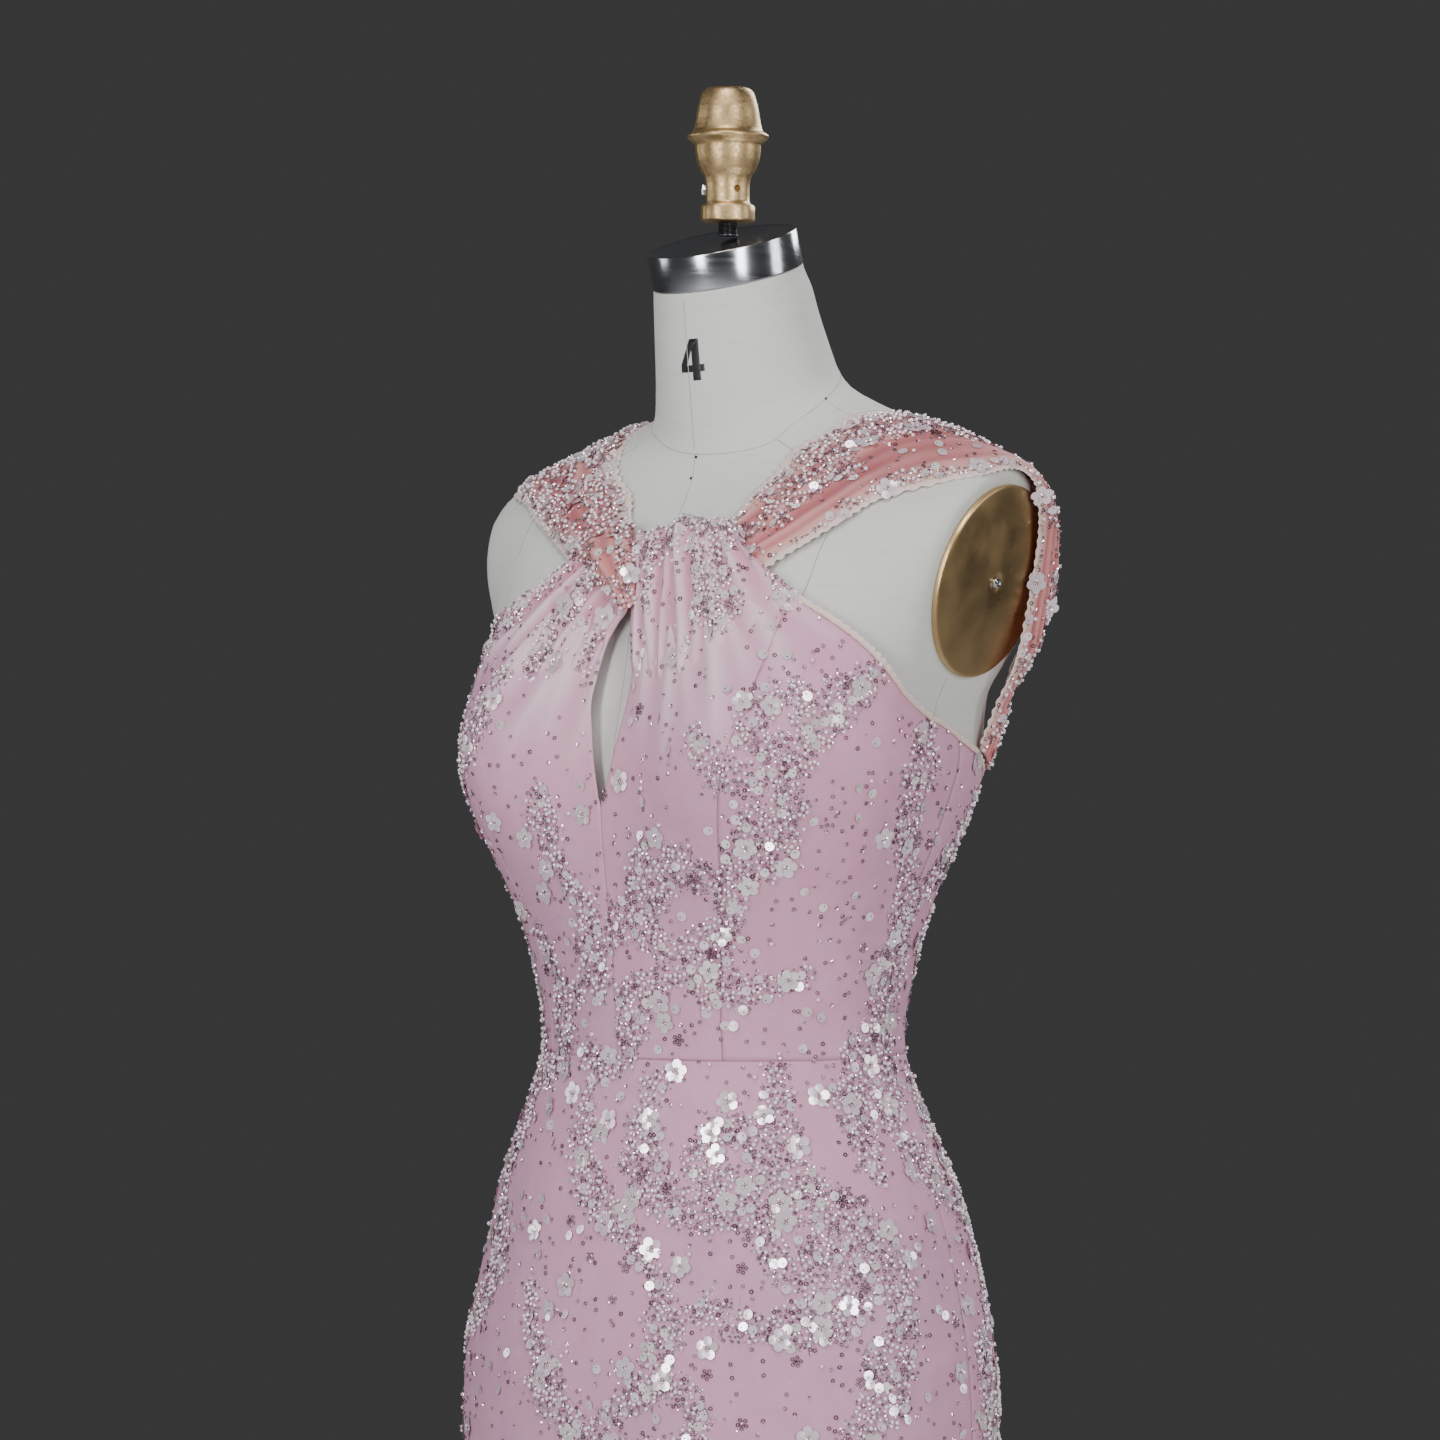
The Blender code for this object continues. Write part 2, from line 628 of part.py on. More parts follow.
def knot_loop(name, table, parts, cloth):
    """One hooked loop of the knot: a flattened roll that follows its rows."""
    place = np.linspace(0, len(table) - 1, KNOT_ROWS)
    angle, level, lift, half_height = catmull(table, place).T
    centre = body_surface(np.radians(angle), level * MM)
    outward = centre * np.array([1, 1, 0]) + np.array([0, KNOT_LEAN, 0])
    outward /= np.linalg.norm(outward, axis=-1, keepdims=True)
    centre = centre + outward * (lift * MM)[:, None]
    along = np.gradient(centre, axis=0)
    along /= np.linalg.norm(along, axis=-1, keepdims=True)
    across = np.cross(along, outward)
    across /= np.linalg.norm(across, axis=-1, keepdims=True)
    out = np.cross(across, along)
    turn = np.linspace(0, 2 * np.pi, KNOT_SIDES, endpoint=False)
    section = (
        across[:, None] * (half_height * MM)[:, None, None] * np.cos(turn)[None, :, None]
        + out[:, None] * KNOT_HALF_DEPTH * np.sin(turn)[None, :, None]
    )
    mesh = grid_mesh(name, centre[:, None] + section, closed=True, capped=True)
    add_object(name, mesh, cloth, parts)


# ---------------------------------------------------------------- the dress form and its stand


def make_torso(parts, linen):
    turn = np.linspace(0, 2 * np.pi, TORSO_COLUMNS, endpoint=False)
    angles = turn + TORSO_CROWDING * np.sin(2 * turn)
    levels = spaced_levels(TORSO_ROWS)
    points = body_surface(angles[None, :], levels[:, None], spread="form")
    mesh = grid_mesh("form_torso", points, closed=True, capped=True)
    add_object("form_torso", mesh, linen, parts)


def make_head_pieces(parts, steel, bronze, dark_steel):
    tilt = math.atan(BODY[-1].tilt)
    cap = turned_object("neck_cap", CAP, steel, parts)
    cap.matrix_world = Matrix.Translation((0, 0, NECK_TOP)) @ Matrix.Rotation(tilt, 4, "X")
    stem_foot = NECK_TOP + CAP_HEIGHT * MM / math.cos(tilt) + STEM_RADIUS * math.tan(tilt) + SEAT
    stem_top = FINIAL_FOOT - SEAT
    bpy.ops.mesh.primitive_cylinder_add(
        vertices=20,
        radius=STEM_RADIUS,
        depth=stem_top - stem_foot,
        location=(0, 0, (stem_top + stem_foot) / 2),
    )
    adopt("stem", dark_steel, parts)
    finial = turned_object("finial", FINIAL, bronze, parts, steps=16)
    finial.location.z = FINIAL_FOOT


def adopt(name, finish, parts):
    """Names the active primitive and moves it into the object's collection."""
    obj = bpy.context.object
    obj.name = obj.data.name = name
    obj.data.materials.append(finish)
    for holder in list(obj.users_collection):
        holder.objects.unlink(obj)
    parts.objects.link(obj)
    smooth_shade(obj.data, 40)
    return obj


def make_arm_plates(parts, brass, steel):
    for side, word in ((1, "left"), (-1, "right")):
        flip = Vector((side, 1, 1))
        normal = PLATE_NORMAL * flip
        place = Matrix.Translation(PLATE_CENTRE * flip + normal * SEAT)
        place = place @ normal.to_track_quat("Z", "Y").to_matrix().to_4x4()
        profile = [
            (PLATE_RADIUS * share, PLATE_RIM + PLATE_DOME * (1 - share**2))
            for share in (0, 0.35, 0.65, 0.88)
        ]
        profile += [(PLATE_RADIUS - PLATE_EDGE, PLATE_RIM), (PLATE_RADIUS, PLATE_RIM - PLATE_EDGE)]
        profile += [(PLATE_RADIUS, 0), (0, 0)]
        plate = turned_object(f"arm_plate_{word}", profile, brass, parts, steps=28)
        plate.matrix_world = place
        screw = turned_object(f"arm_screw_{word}", SCREW_HEAD, steel, parts, steps=14)
        lift = (PLATE_RIM + PLATE_DOME) * MM + SEAT
        screw.matrix_world = place @ Matrix.Translation((0, 0, lift))


def make_stand(parts, dark_steel, iron):
    pole_foot = BASE[0][1] * MM + SEAT
    pole_top = FORM_FOOT - SEAT
    bpy.ops.mesh.primitive_cylinder_add(
        vertices=28,
        radius=POLE_RADIUS,
        depth=pole_top - pole_foot,
        location=(0, 0, (pole_top + pole_foot) / 2),
    )
    adopt("pole", dark_steel, parts)
    turned_object("base", BASE, iron, parts)


# ---------------------------------------------------------------- the zip


def make_zip_tape(parts, cloth):
    """The closed strip of the zip, on the inside of the centre back seam."""
    levels = np.linspace(ZIP_END, BACK_TOP - ZIP_TOP_GAP, ZIP_ROWS)
    half = ZIP_HALF_WIDTH / ZIP_RADIUS
    angles = np.pi + np.linspace(-half, half, 3)
    points = body_surface(angles[None, :], levels[:, None], ZIP_INNER)
    cloth_object("zip_tape", points, cloth, parts, wall=ZIP_WALL)


def seam_frame(level, stand_off):
    """A place on the centre back seam, with +X across it, +Y out of the cloth and +Z up the seam."""
    levels = level + np.array([-5, 0, 5]) * MM
    low, here, high = body_surface(np.pi, levels, EASE + CLOTH)
    up = Vector(high - low).normalized()
    outward = Vector((1, 0, 0)).cross(up) * -1
    turn = Matrix((Vector((-1, 0, 0)), outward, up)).transposed().to_4x4()
    return Matrix.Translation(Vector(here) + outward * stand_off) @ turn


def boxed(name, size, place, finish, parts):
    bpy.ops.mesh.primitive_cube_add(size=1)
    bpy.context.object.scale = size
    bpy.ops.object.transform_apply(location=False, rotation=False, scale=True)
    obj = adopt(name, finish, parts)
    obj.matrix_world = place
    return obj


def solid_tube(name, points, radius, place):
    """A round wire along points, as a closed mesh object that is not part of the scene's solids."""
    curve = bpy.data.curves.new(name, "CURVE")
    curve.dimensions = "3D"
    curve.bevel_depth = radius
    curve.bevel_resolution = 2
    curve.use_fill_caps = True
    spline = curve.splines.new("POLY")
    spline.points.add(len(points) - 1)
    for target, point in zip(spline.points, points):
        target.co = (*point, 1)
    wire = bpy.data.objects.new(name, curve)
    bpy.context.scene.collection.objects.link(wire)
    wire.matrix_world = place
    bpy.context.view_layer.update()
    graph = bpy.context.evaluated_depsgraph_get()
    mesh = bpy.data.meshes.new_from_object(wire.evaluated_get(graph))
    shell = bmesh.new()
    shell.from_mesh(mesh)
    bmesh.ops.remove_doubles(shell, verts=shell.verts, dist=0.00001)
    shell.to_mesh(mesh)
    shell.free()
    solid = bpy.data.objects.new(name, mesh)
    solid.matrix_world = wire.matrix_world
    bpy.data.objects.remove(wire)
    return solid


def bail_route(face):
    """Half of the bail from the slider out to its middle, mirrored: a staple with round corners."""
    half, reach, corner = BAIL["half_height"], BAIL["reach"], BAIL["corner"]
    turns = [math.radians(degrees) for degrees in (0, 30, 60, 90)]
    lower = [(0, face - BAIL_ROOT, -half)]
    lower += [
        (0, face + reach - corner + corner * math.sin(turn), -half + corner - corner * math.cos(turn))
        for turn in turns
    ]
    return lower + [(x, y, -z) for x, y, z in reversed(lower)]


def make_zip_slider(parts, tools, metal):
    """The slider on the seam, with its bail, and the pull that hangs from the bail."""
    face = SLIDER["depth"] / 2
    place = seam_frame(BACK_TOP - SLIDER_BELOW_EDGE, SLIDER_STAND_OFF + face)
    size = (SLIDER["width"], SLIDER["depth"], SLIDER["height"])
    slider = boxed("zip_slider", size, place, metal, parts)
    bail = solid_tube("zip_bail", bail_route(face), BAIL["wire"], place)
    tools.objects.link(bail)
    bail.hide_render = True
    bail.display_type = "WIRE"
    join = slider.modifiers.new("Bail", "BOOLEAN")
    join.operation = "UNION"
    join.object = bail
    make_zip_pull(place @ Vector((0, face + PULL["stand_off"], 0)), parts, metal)


def make_zip_pull(hinge, parts, metal):
    """The drop-shaped pull: a flat outline with an eye, hung upright, its origin on the hinge axis."""
    head, drop = PULL["head"] / MM, PULL["eye_drop"] / MM
    top = [
        (head * math.cos(math.radians(turn)), head * math.sin(math.radians(turn)) - drop)
        for turn in range(-30, 91, 15)
    ]
    right = [(x, y) for x, y in reversed(PULL_OUTLINE[1:-1])] + [PULL_OUTLINE[0]] + top[:-1]
    outline = [PULL_OUTLINE[-1]] + right + [top[-1]] + [(-x, y) for x, y in reversed(right)]
    eye = PULL["eye"] / MM
    hole = [
        (eye * math.cos(math.radians(turn)), eye * math.sin(math.radians(turn)) - drop)
        for turn in range(0, 360, 24)
    ]
    curve = bpy.data.curves.new("zip_pull", "CURVE")
    curve.dimensions = "2D"
    curve.fill_mode = "BOTH"
    curve.extrude = PULL_THICKNESS / 2
    for loop in (outline, hole):
        spline = curve.splines.new("POLY")
        spline.points.add(len(loop) - 1)
        for target, (x, y) in zip(spline.points, loop):
            target.co = (x * MM, y * MM, 0, 1)
        spline.use_cyclic_u = True
    pull = add_object("zip_pull", curve, metal, parts)
    pull.matrix_world = Matrix.Translation(hinge) @ Matrix.Rotation(math.radians(90), 4, "X")


def main():
    clear_scene()
    parts = collection("evening_gown_on_dress_form")
    tools = collection("joining_tools")
    cloth = material("Beaded pink tulle", (0.55, 0.40, 0.46), 0.55)
    coral = material("Gathered coral tulle", (0.58, 0.36, 0.36), 0.60)
    linen = material("Form cover", (0.62, 0.62, 0.60), 0.85)
    steel = material("Brushed steel", (0.55, 0.56, 0.58), 0.28, 1.0)
    dark_steel = material("Dark steel", (0.10, 0.10, 0.11), 0.40, 1.0)
    bronze = material("Cast gilt bronze", (0.55, 0.38, 0.18), 0.42, 1.0)
    brass = material("Satin brass", (0.36, 0.25, 0.12), 0.34, 1.0)
    iron = material("Painted iron", (0.02, 0.02, 0.022), 0.5)
    enamel = material("Pink enamel", (0.60, 0.45, 0.50), 0.35)
    make_bodice(parts, cloth)
    make_skirt(parts, cloth)
    make_straps(parts, coral)
    knot_loop("knot_left", KNOT_LEFT, parts, coral)
    knot_loop("knot_right", KNOT_RIGHT, parts, coral)
    make_torso(parts, linen)
    make_head_pieces(parts, steel, bronze, dark_steel)
    make_arm_plates(parts, brass, steel)
    make_stand(parts, dark_steel, iron)
    make_zip_tape(parts, cloth)
    make_zip_slider(parts, tools, enamel)


main()
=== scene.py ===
"""The looks of a beaded halter evening gown on its limbless dress form.

The gown is pink tulle over a lining, sewn all over with pearls, ring sequins, paillettes and small
beads in scrolling bands. Two straps of gathered coral tulle run from a twisted knot over the
shoulders. The form has a linen cover, a steel neck cap, a cast finial, brass arm plates, a pole and
an iron base. Metres, +Z up, front -Y, the wearer's left +X.
"""

import math
from collections import namedtuple
from contextlib import contextmanager

import bmesh
import bpy
import numpy as np
from mathutils import Matrix, Vector, kdtree, noise


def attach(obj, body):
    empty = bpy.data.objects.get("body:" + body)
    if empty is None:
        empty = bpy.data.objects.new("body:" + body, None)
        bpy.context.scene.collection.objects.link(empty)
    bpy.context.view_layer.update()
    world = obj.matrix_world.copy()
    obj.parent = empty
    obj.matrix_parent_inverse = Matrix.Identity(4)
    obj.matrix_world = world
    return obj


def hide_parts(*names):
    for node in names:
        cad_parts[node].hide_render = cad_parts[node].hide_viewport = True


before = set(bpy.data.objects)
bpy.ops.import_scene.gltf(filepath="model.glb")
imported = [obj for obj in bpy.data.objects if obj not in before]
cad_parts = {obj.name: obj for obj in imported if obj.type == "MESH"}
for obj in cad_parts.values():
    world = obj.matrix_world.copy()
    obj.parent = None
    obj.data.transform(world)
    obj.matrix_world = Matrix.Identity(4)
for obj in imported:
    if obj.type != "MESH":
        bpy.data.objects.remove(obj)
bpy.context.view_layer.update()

MM = 0.001
BODY = "gown_on_form"

# ---------------------------------------------------------------- sizes shared with the solids

WAIST = 1070 * MM
HEM = 20 * MM
BACK_TOP = 1178 * MM
FORM_FOOT = 770 * MM
NECK_TOP = 1536 * MM
EASE = 2.6 * MM
CLOTH = 1.2 * MM
SEAT = 0.3 * MM
SIDE_SEAM = 98.0
# A degree round the figure is about this long, and its radius about this, where slopes are taken.
MM_PER_DEGREE = 2.2
MIDDLE_RADIUS = 0.12
SLOPE_STEP = 0.4 * MM

Section = namedtuple(
    "Section",
    "level depth_centre half_width front back roundness_front roundness_back tilt",
)
FIGURE = [
    Section(20, 5.5, 296, 296, 300, 2.0, 2.0, 0.00),
    Section(90, 4.5, 262, 260, 264, 2.0, 2.0, 0.00),
    Section(170, 3, 228, 222, 226, 2.0, 2.0, 0.00),
    Section(260, 1, 196, 184, 188, 2.0, 2.0, 0.00),
    Section(350, 0, 170, 154, 158, 2.05, 2.05, 0.00),
    Section(440, 0, 153, 132, 136, 2.1, 2.1, 0.00),
    Section(530, 0, 148, 121, 124, 2.15, 2.15, 0.00),
    Section(610, 0, 149, 119, 121, 2.2, 2.2, 0.00),
    Section(690, 0, 154, 121, 123, 2.2, 2.2, 0.00),
    Section(770, 0, 160, 125, 127, 2.2, 2.2, 0.00),
    Section(841, 0, 166, 130, 131, 2.2, 2.2, 0.00),
    Section(889, 0, 164, 129, 130, 2.2, 2.2, 0.00),
    Section(925, 0, 159, 124, 126, 2.15, 2.15, 0.00),
    Section(962, 0, 151, 118, 119, 2.1, 2.1, 0.00),
    Section(998, -2, 140, 111, 112, 2.1, 2.1, 0.00),
    Section(1034, -3, 124, 103, 103, 2.05, 2.05, 0.00),
    Section(1070, -4, 112, 94, 95, 2.0, 2.0, 0.00),
    Section(1106, -3, 113, 97, 97, 2.0, 2.0, 0.00),
    Section(1154, 0, 122, 104, 104, 2.1, 2.1, 0.00),
    Section(1203, 3, 136, 110, 113, 2.2, 2.5, 0.00),
    Section(1245, 6, 148, 110, 119, 2.3, 2.6, 0.00),
    Section(1290, 12, 158, 106, 110, 2.3, 2.6, 0.00),
    Section(1335, 24, 176, 110, 97, 2.3, 2.5, 0.02),
    Section(1370, 30, 186, 104, 84, 2.3, 2.4, 0.04),
    Section(1398, 33, 188, 92, 70, 2.3, 2.2, 0.10),
    Section(1416, 31, 176, 80, 62, 2.1, 2.1, 0.18),
    Section(1430, 27, 146, 69, 57, 2.0, 2.0, 0.27),
    Section(1443, 23, 106, 61, 53, 2.0, 2.0, 0.36),
    Section(1454, 20, 72, 56, 51, 2.0, 2.0, 0.43),
    Section(1464, 18, 58, 54, 52, 2.0, 2.0, 0.46),
    Section(1482, 14, 53, 52, 51, 2.0, 2.0, 0.42),
    Section(1502, 9, 50, 49.5, 49, 2.0, 2.0, 0.36),
    Section(1520, 5, 48, 47.5, 47, 2.0, 2.0, 0.32),
    Section(1536, 0, 45.5, 44, 44, 2.0, 2.0, 0.30),
]
BUST = {"side": 86 * MM, "level": 1252 * MM, "forward": 33 * MM, "outward": 11 * MM}
BUST_SPREAD = {"form": 42 * MM, "gown": 58 * MM, "above": 76 * MM, "below": 80 * MM}
BUST_FRONT_FADE = 0.25

PLATE_CENTRE = Vector((0.165, 0.041, 1.351))
PLATE_NORMAL = Vector((0.957, 0.110, -0.270)).normalized()
PLATE_RADIUS = 58.5
LAND_RADIUS = 60 * MM
LAND_FADE = 26 * MM
LAND_EDGE = 7 * MM
LAND_FADE_BELOW = (1235 * MM, 1285 * MM)
LAND_FADE_ABOVE = (1430 * MM, 1450 * MM)
LAND_CUT_REACH = 40 * MM
LAND_FILL_FADE = (-60 * MM, -20 * MM)

HemFold = namedtuple("HemFold", "angle half_width depth")
HEM_FOLDS = [
    HemFold(2, 24, 26),
    HemFold(40, 20, 21),
    HemFold(79, 22, 27),
    HemFold(121, 21, 24),
    HemFold(161, 19, 20),
    HemFold(200, 21, 25),
    HemFold(241, 22, 22),
    HemFold(282, 20, 28),
    HemFold(322, 21, 23),
]
FOLD_TOP = 560 * MM
FOLD_MEAN = 11 * MM
FOLD_GROWTH = 1.6

Point = namedtuple("Point", "angle level")


def line(*places):
    """A line on the figure through (angle, level) places, in degrees and millimetres."""
    return [Point(*place) for place in places]


WAIST_LEVEL = WAIST / MM
CENTRE_FRONT = line((0, WAIST_LEVEL), (0, 1120), (0, 1170), (0, 1217))
KEYHOLE_LEFT = line((0, 1217), (0.3, 1222), (1.7, 1247), (2.7, 1277), (2.6, 1305), (2.2, 1334))
KEYHOLE_RIGHT = line(
    (0, 1217), (-0.3, 1222), (-2.0, 1257), (-3.1, 1281), (-2.4, 1308), (-0.6, 1334),
)
PRINCESS = line((35, WAIST_LEVEL), (34.5, 1165), (33, 1239), (35, 1280), (34, 1343))
PRINCESS_RIGHT = PRINCESS[:-1] + line((34, 1317))
SIDE = line((SIDE_SEAM, WAIST_LEVEL), (98, 1145), (98.5, 1210), (99, 1256))
CENTRE_BACK = line((180, WAIST_LEVEL), (180, 1125), (180, BACK_TOP / MM))
NECK_LEFT = line((2.2, 1334), (9, 1347), (18, 1360), (26, 1355), (34, 1343))
NECK_RIGHT = line((-0.6, 1334), (-6, 1342), (-14, 1338), (-21, 1329), (-34, 1317))
ARMHOLE = line((34, 1343), (45.5, 1328), (59.5, 1309), (80.5, 1279), (99, 1256))
ARMHOLE_RIGHT = line((34, 1317), (45.5, 1311), (59.5, 1300), (80.5, 1277), (99, 1256))
BACK_EDGE = line((99, 1256), (117, 1242), (135, 1226), (157, 1196), (180, BACK_TOP / MM))

StrapRow = namedtuple("StrapRow", "inner_angle inner_level outer_angle outer_level lift")
STRAP_OVER = [
    StrapRow(71, 1450, 66, 1422, 2),
    StrapRow(93, 1450, 84, 1422, 2),
    StrapRow(112, 1444, 101, 1418, 3),
    StrapRow(126, 1430, 110, 1407, 5),
    StrapRow(133, 1404, 115, 1385, 6),
    StrapRow(135, 1372, 117, 1360, 6),
    StrapRow(134, 1340, 117, 1332, 7),
    StrapRow(132, 1306, 116, 1303, 9),
    StrapRow(129, 1272, 114, 1274, 7),
    StrapRow(126, 1239, 111, 1250, 1),
]
STRAP_LEFT = [
    StrapRow(12.5, 1386, 24, 1360, 2),
    StrapRow(16, 1404, 30, 1376, 2),
    StrapRow(23, 1424, 37, 1394, 2),
    StrapRow(43, 1444, 47, 1411, 2),
] + STRAP_OVER
STRAP_RIGHT = [
    StrapRow(3.0, 1384, 11.5, 1363, 2),
    StrapRow(6, 1400, 17, 1378, 2),
    StrapRow(15, 1425, 28, 1398, 2),
    StrapRow(41, 1445, 44, 1413, 2),
] + STRAP_OVER

# The knot is the fronts' own cloth, gathered up and turned over: rows run up from the panel, over
# the fold and down behind it, each from the keyhole outwards, as (angle, level, lift over the
# gown's face).
DRAPE_LEFT = [
    [(2.9, 1292, -1.2), (9.5, 1284, -1.2), (18, 1288, -1.2), (27, 1308, -1.2), (37.5, 1338, -1.2)],
    [(1.9, 1308, 0.9), (8.6, 1304, 1.2), (16.0, 1308, 1.3), (24.8, 1322, 1.0), (34.5, 1345, 0.7)],
    [(1.2, 1326, 2.2), (7.2, 1325, 3.4), (14.0, 1328, 3.8), (22.0, 1338, 3.0), (31.0, 1351, 1.5)],
    [(0.9, 1344, 4.5), (6.2, 1346, 6.5), (12.2, 1348, 7.2), (19.4, 1354, 6.0), (27.0, 1358, 3.2)],
    [
        (0.4, 1360, 8.0), (5.4, 1364, 10.5), (10.8, 1366, 11.5), (16.8, 1368, 10.0),
        (23.2, 1365, 6.0),
    ],
    [
        (-0.4, 1372, 10.0), (4.9, 1376, 13.0), (9.9, 1378, 14.0), (15.2, 1378, 12.5),
        (20.2, 1373, 8.5),
    ],
    [(-0.5, 1377, 6.5), (4.8, 1383, 8.0), (9.7, 1385, 8.5), (14.9, 1385, 8.0), (19.5, 1379, 6.0)],
    [(-0.3, 1374, 1.5), (4.8, 1380, 1.8), (9.7, 1382, 2.0), (14.9, 1382, 2.0), (19.3, 1376, 2.0)],
]
DRAPE_RIGHT = [
    [
        (-3.6, 1296, -1.2), (-11, 1290, -1.2), (-20, 1293, -1.2), (-30, 1304, -1.2),
        (-38, 1310, -1.2),
    ],
    [
        (-2.6, 1309, 0.8), (-8.5, 1307, 1.2), (-16.0, 1311, 1.3), (-25.5, 1321, 1.0),
        (-35.5, 1330, 0.6),
    ],
    [
        (-1.2, 1322, 1.6), (-5.5, 1325, 3.0), (-11.5, 1330, 3.4), (-19.5, 1339, 2.6),
        (-27.5, 1339, 1.2),
    ],
    [
        (0.2, 1331, 3.0), (-2.8, 1339, 5.2), (-7.5, 1347, 5.6), (-13.5, 1354, 4.4),
        (-19.5, 1350, 2.2),
    ],
    [(1.2, 1337, 5.0), (-0.6, 1348, 6.5), (-4.0, 1358, 7.0), (-9.0, 1366, 6.0), (-13.8, 1364, 3.6)],
    [(1.8, 1341, 4.0), (1.0, 1352, 5.0), (-1.5, 1364, 5.5), (-5.8, 1374, 5.0), (-10.0, 1375, 3.6)],
    [(2.2, 1345, 1.0), (2.0, 1355, 1.5), (-0.4, 1368, 2.0), (-4.2, 1378, 2.2), (-8.0, 1380, 2.0)],
]
# The right strap's gathered end, from its width on the strap down to a point in the knot.
STRAP_END = [
    [(-13.5, 1373, 2.2), (-9.8, 1381, 3.0), (-6.2, 1387, 3.0), (-2.6, 1391, 2.2)],
    [(-11.2, 1367, 5.5), (-8.0, 1374, 8.0), (-4.8, 1380, 8.4), (-1.8, 1384, 6.5)],
    [(-7.6, 1359, 8.6), (-5.2, 1364, 12.0), (-2.6, 1369, 12.4), (-0.4, 1373, 9.5)],
    [(-4.2, 1350, 9.4), (-2.6, 1353, 12.4), (-0.8, 1357, 12.6), (0.8, 1361, 9.6)],
    [(-1.6, 1342, 8.2), (-0.7, 1343, 10.4), (0.4, 1345, 10.4), (1.6, 1348, 8.0)],
    [(0.2, 1334, 5.6), (0.7, 1334, 6.4), (1.2, 1335, 6.4), (1.9, 1337, 5.4)],
]

# ---------------------------------------------------------------- folds, pleats and seams

# A soft fold from one place to another on the gown. Angles in degrees, levels and sizes in mm; bow
# is how far its middle bends aside, and its height fades towards the far end.
Fold = namedtuple("Fold", "angle level to_angle to_level bow half_width height")
# A fold swells in and dies away over these shares of its run, starts at a share of its half width
# and gains another, and has a ridge that is part round and part sharp.
FOLD_RISE = (-0.12, 0.06)
FOLD_FALL = (0.25, 1.05)
FOLD_NARROW = 0.7
FOLD_WIDENING = 0.9
RIDGE_ROUND = 0.65
RIDGE_SHARP = 0.35
RIDGE_STEEPNESS = 2.6
# Gathers this high, in mm, get the full painted highlight on their crests.
FULL_HIGHLIGHT_HEIGHT = 3.2
GATHERS = [
    Fold(5, 1338, 9.5, 1239, -1.95, 4.2, 3.08),
    Fold(8, 1343, 17.0, 1222, 2.6, 4.8, 3.96),
    Fold(11, 1345, 25.2, 1248, -2.6, 3.8, 3.3),
    Fold(13.5, 1349, 33.8, 1234, 3.25, 5.2, 4.4),
    Fold(16.5, 1351, 39.0, 1279, -2.6, 3.6, 3.3),
    Fold(18, 1356, 49.5, 1272, 2.6, 4.4, 3.74),
    Fold(21, 1358, 58.5, 1298, 1.95, 3, 2.42),
    Fold(-1.5, 1332, -6.8, 1227, 1.95, 3.8, 3.08),
    Fold(-4.5, 1338, -12.0, 1239, -2.6, 4.6, 3.96),
    Fold(-7.5, 1338, -21.8, 1233, 3.25, 4.2, 3.74),
    Fold(-10.5, 1337, -27.8, 1258, -2.6, 5, 4.18),
    Fold(-13.5, 1336, -38.2, 1256, 3.25, 3.6, 3.3),
    Fold(-17, 1333, -47.0, 1278, -1.95, 4, 3.08),
]
CREASES = [
    Fold(62, 1262, 92, 1228, 3.0, 5.0, 0.9),
    Fold(-60, 1266, -91, 1236, -3.0, 5.0, 0.8),
    Fold(70, 1118, 96, 1096, 2.0, 5.5, 0.9),
    Fold(-72, 1112, -95, 1092, 2.0, 5.0, 0.8),
    Fold(48, 1096, 74, 1083, -1.5, 4.0, 0.6),
    Fold(-40, 1092, -66, 1082, 1.5, 4.0, 0.6),
    Fold(104, 1118, 134, 1102, 2.0, 5.0, 0.9),
    Fold(-106, 1122, -138, 1104, -2.0, 5.0, 0.9),
    Fold(150, 1102, 176, 1090, 1.5, 4.5, 0.8),
    Fold(-148, 1104, -175, 1092, 1.5, 4.5, 0.8),
    Fold(112, 1046, 146, 1030, 2.5, 6.0, 1.0),
    Fold(-110, 1048, -148, 1033, -2.5, 6.0, 1.0),
    Fold(96, 902, 64, 880, 2.0, 7.0, 0.8),
    Fold(-97, 900, -60, 874, 2.0, 7.0, 0.8),
    Fold(12, 820, -30, 808, 3.0, 9.0, 1.0),
    Fold(24, 742, -34, 724, -4.0, 10.0, 1.2),
    Fold(158, 838, 204, 822, 3.0, 9.0, 1.2),
    Fold(150, 760, 208, 738, -4.0, 10.0, 1.4),
]
DARTS = [Fold(side * 58, 1070, side * 60, 1030, 0.0, 1.3, -0.7) for side in (-1, 1)] + [
    Fold(side * 146, 1070, side * 147, 1000, 0.0, 1.3, -0.7) for side in (-1, 1)
]
TOP_DIP = 0.4 * MM
SEAM_DIP = 0.42 * MM
SEAM_ROLL = 1.8 * MM
SEAM_PART = 0.06 * MM
ZIP_END = 890 * MM
ZIP_INNER = 1.0 * MM
ZIP_DIP = 0.25 * MM

Pleat = namedtuple("Pleat", "place half_width height wander phase")
STRAP_PLEATS = [
    Pleat(0.10, 0.050, 1.7, 0.020, 0.0),
    Pleat(0.24, 0.042, 1.2, 0.030, 1.9),
    Pleat(0.40, 0.060, 2.1, 0.035, 3.1),
    Pleat(0.56, 0.038, 1.3, 0.030, 4.4),
    Pleat(0.70, 0.055, 1.9, 0.028, 0.8),
    Pleat(0.87, 0.048, 1.5, 0.020, 2.6),
]
STRAP_EDGE_DROP = 1.3 * MM

# ---------------------------------------------------------------- beadwork

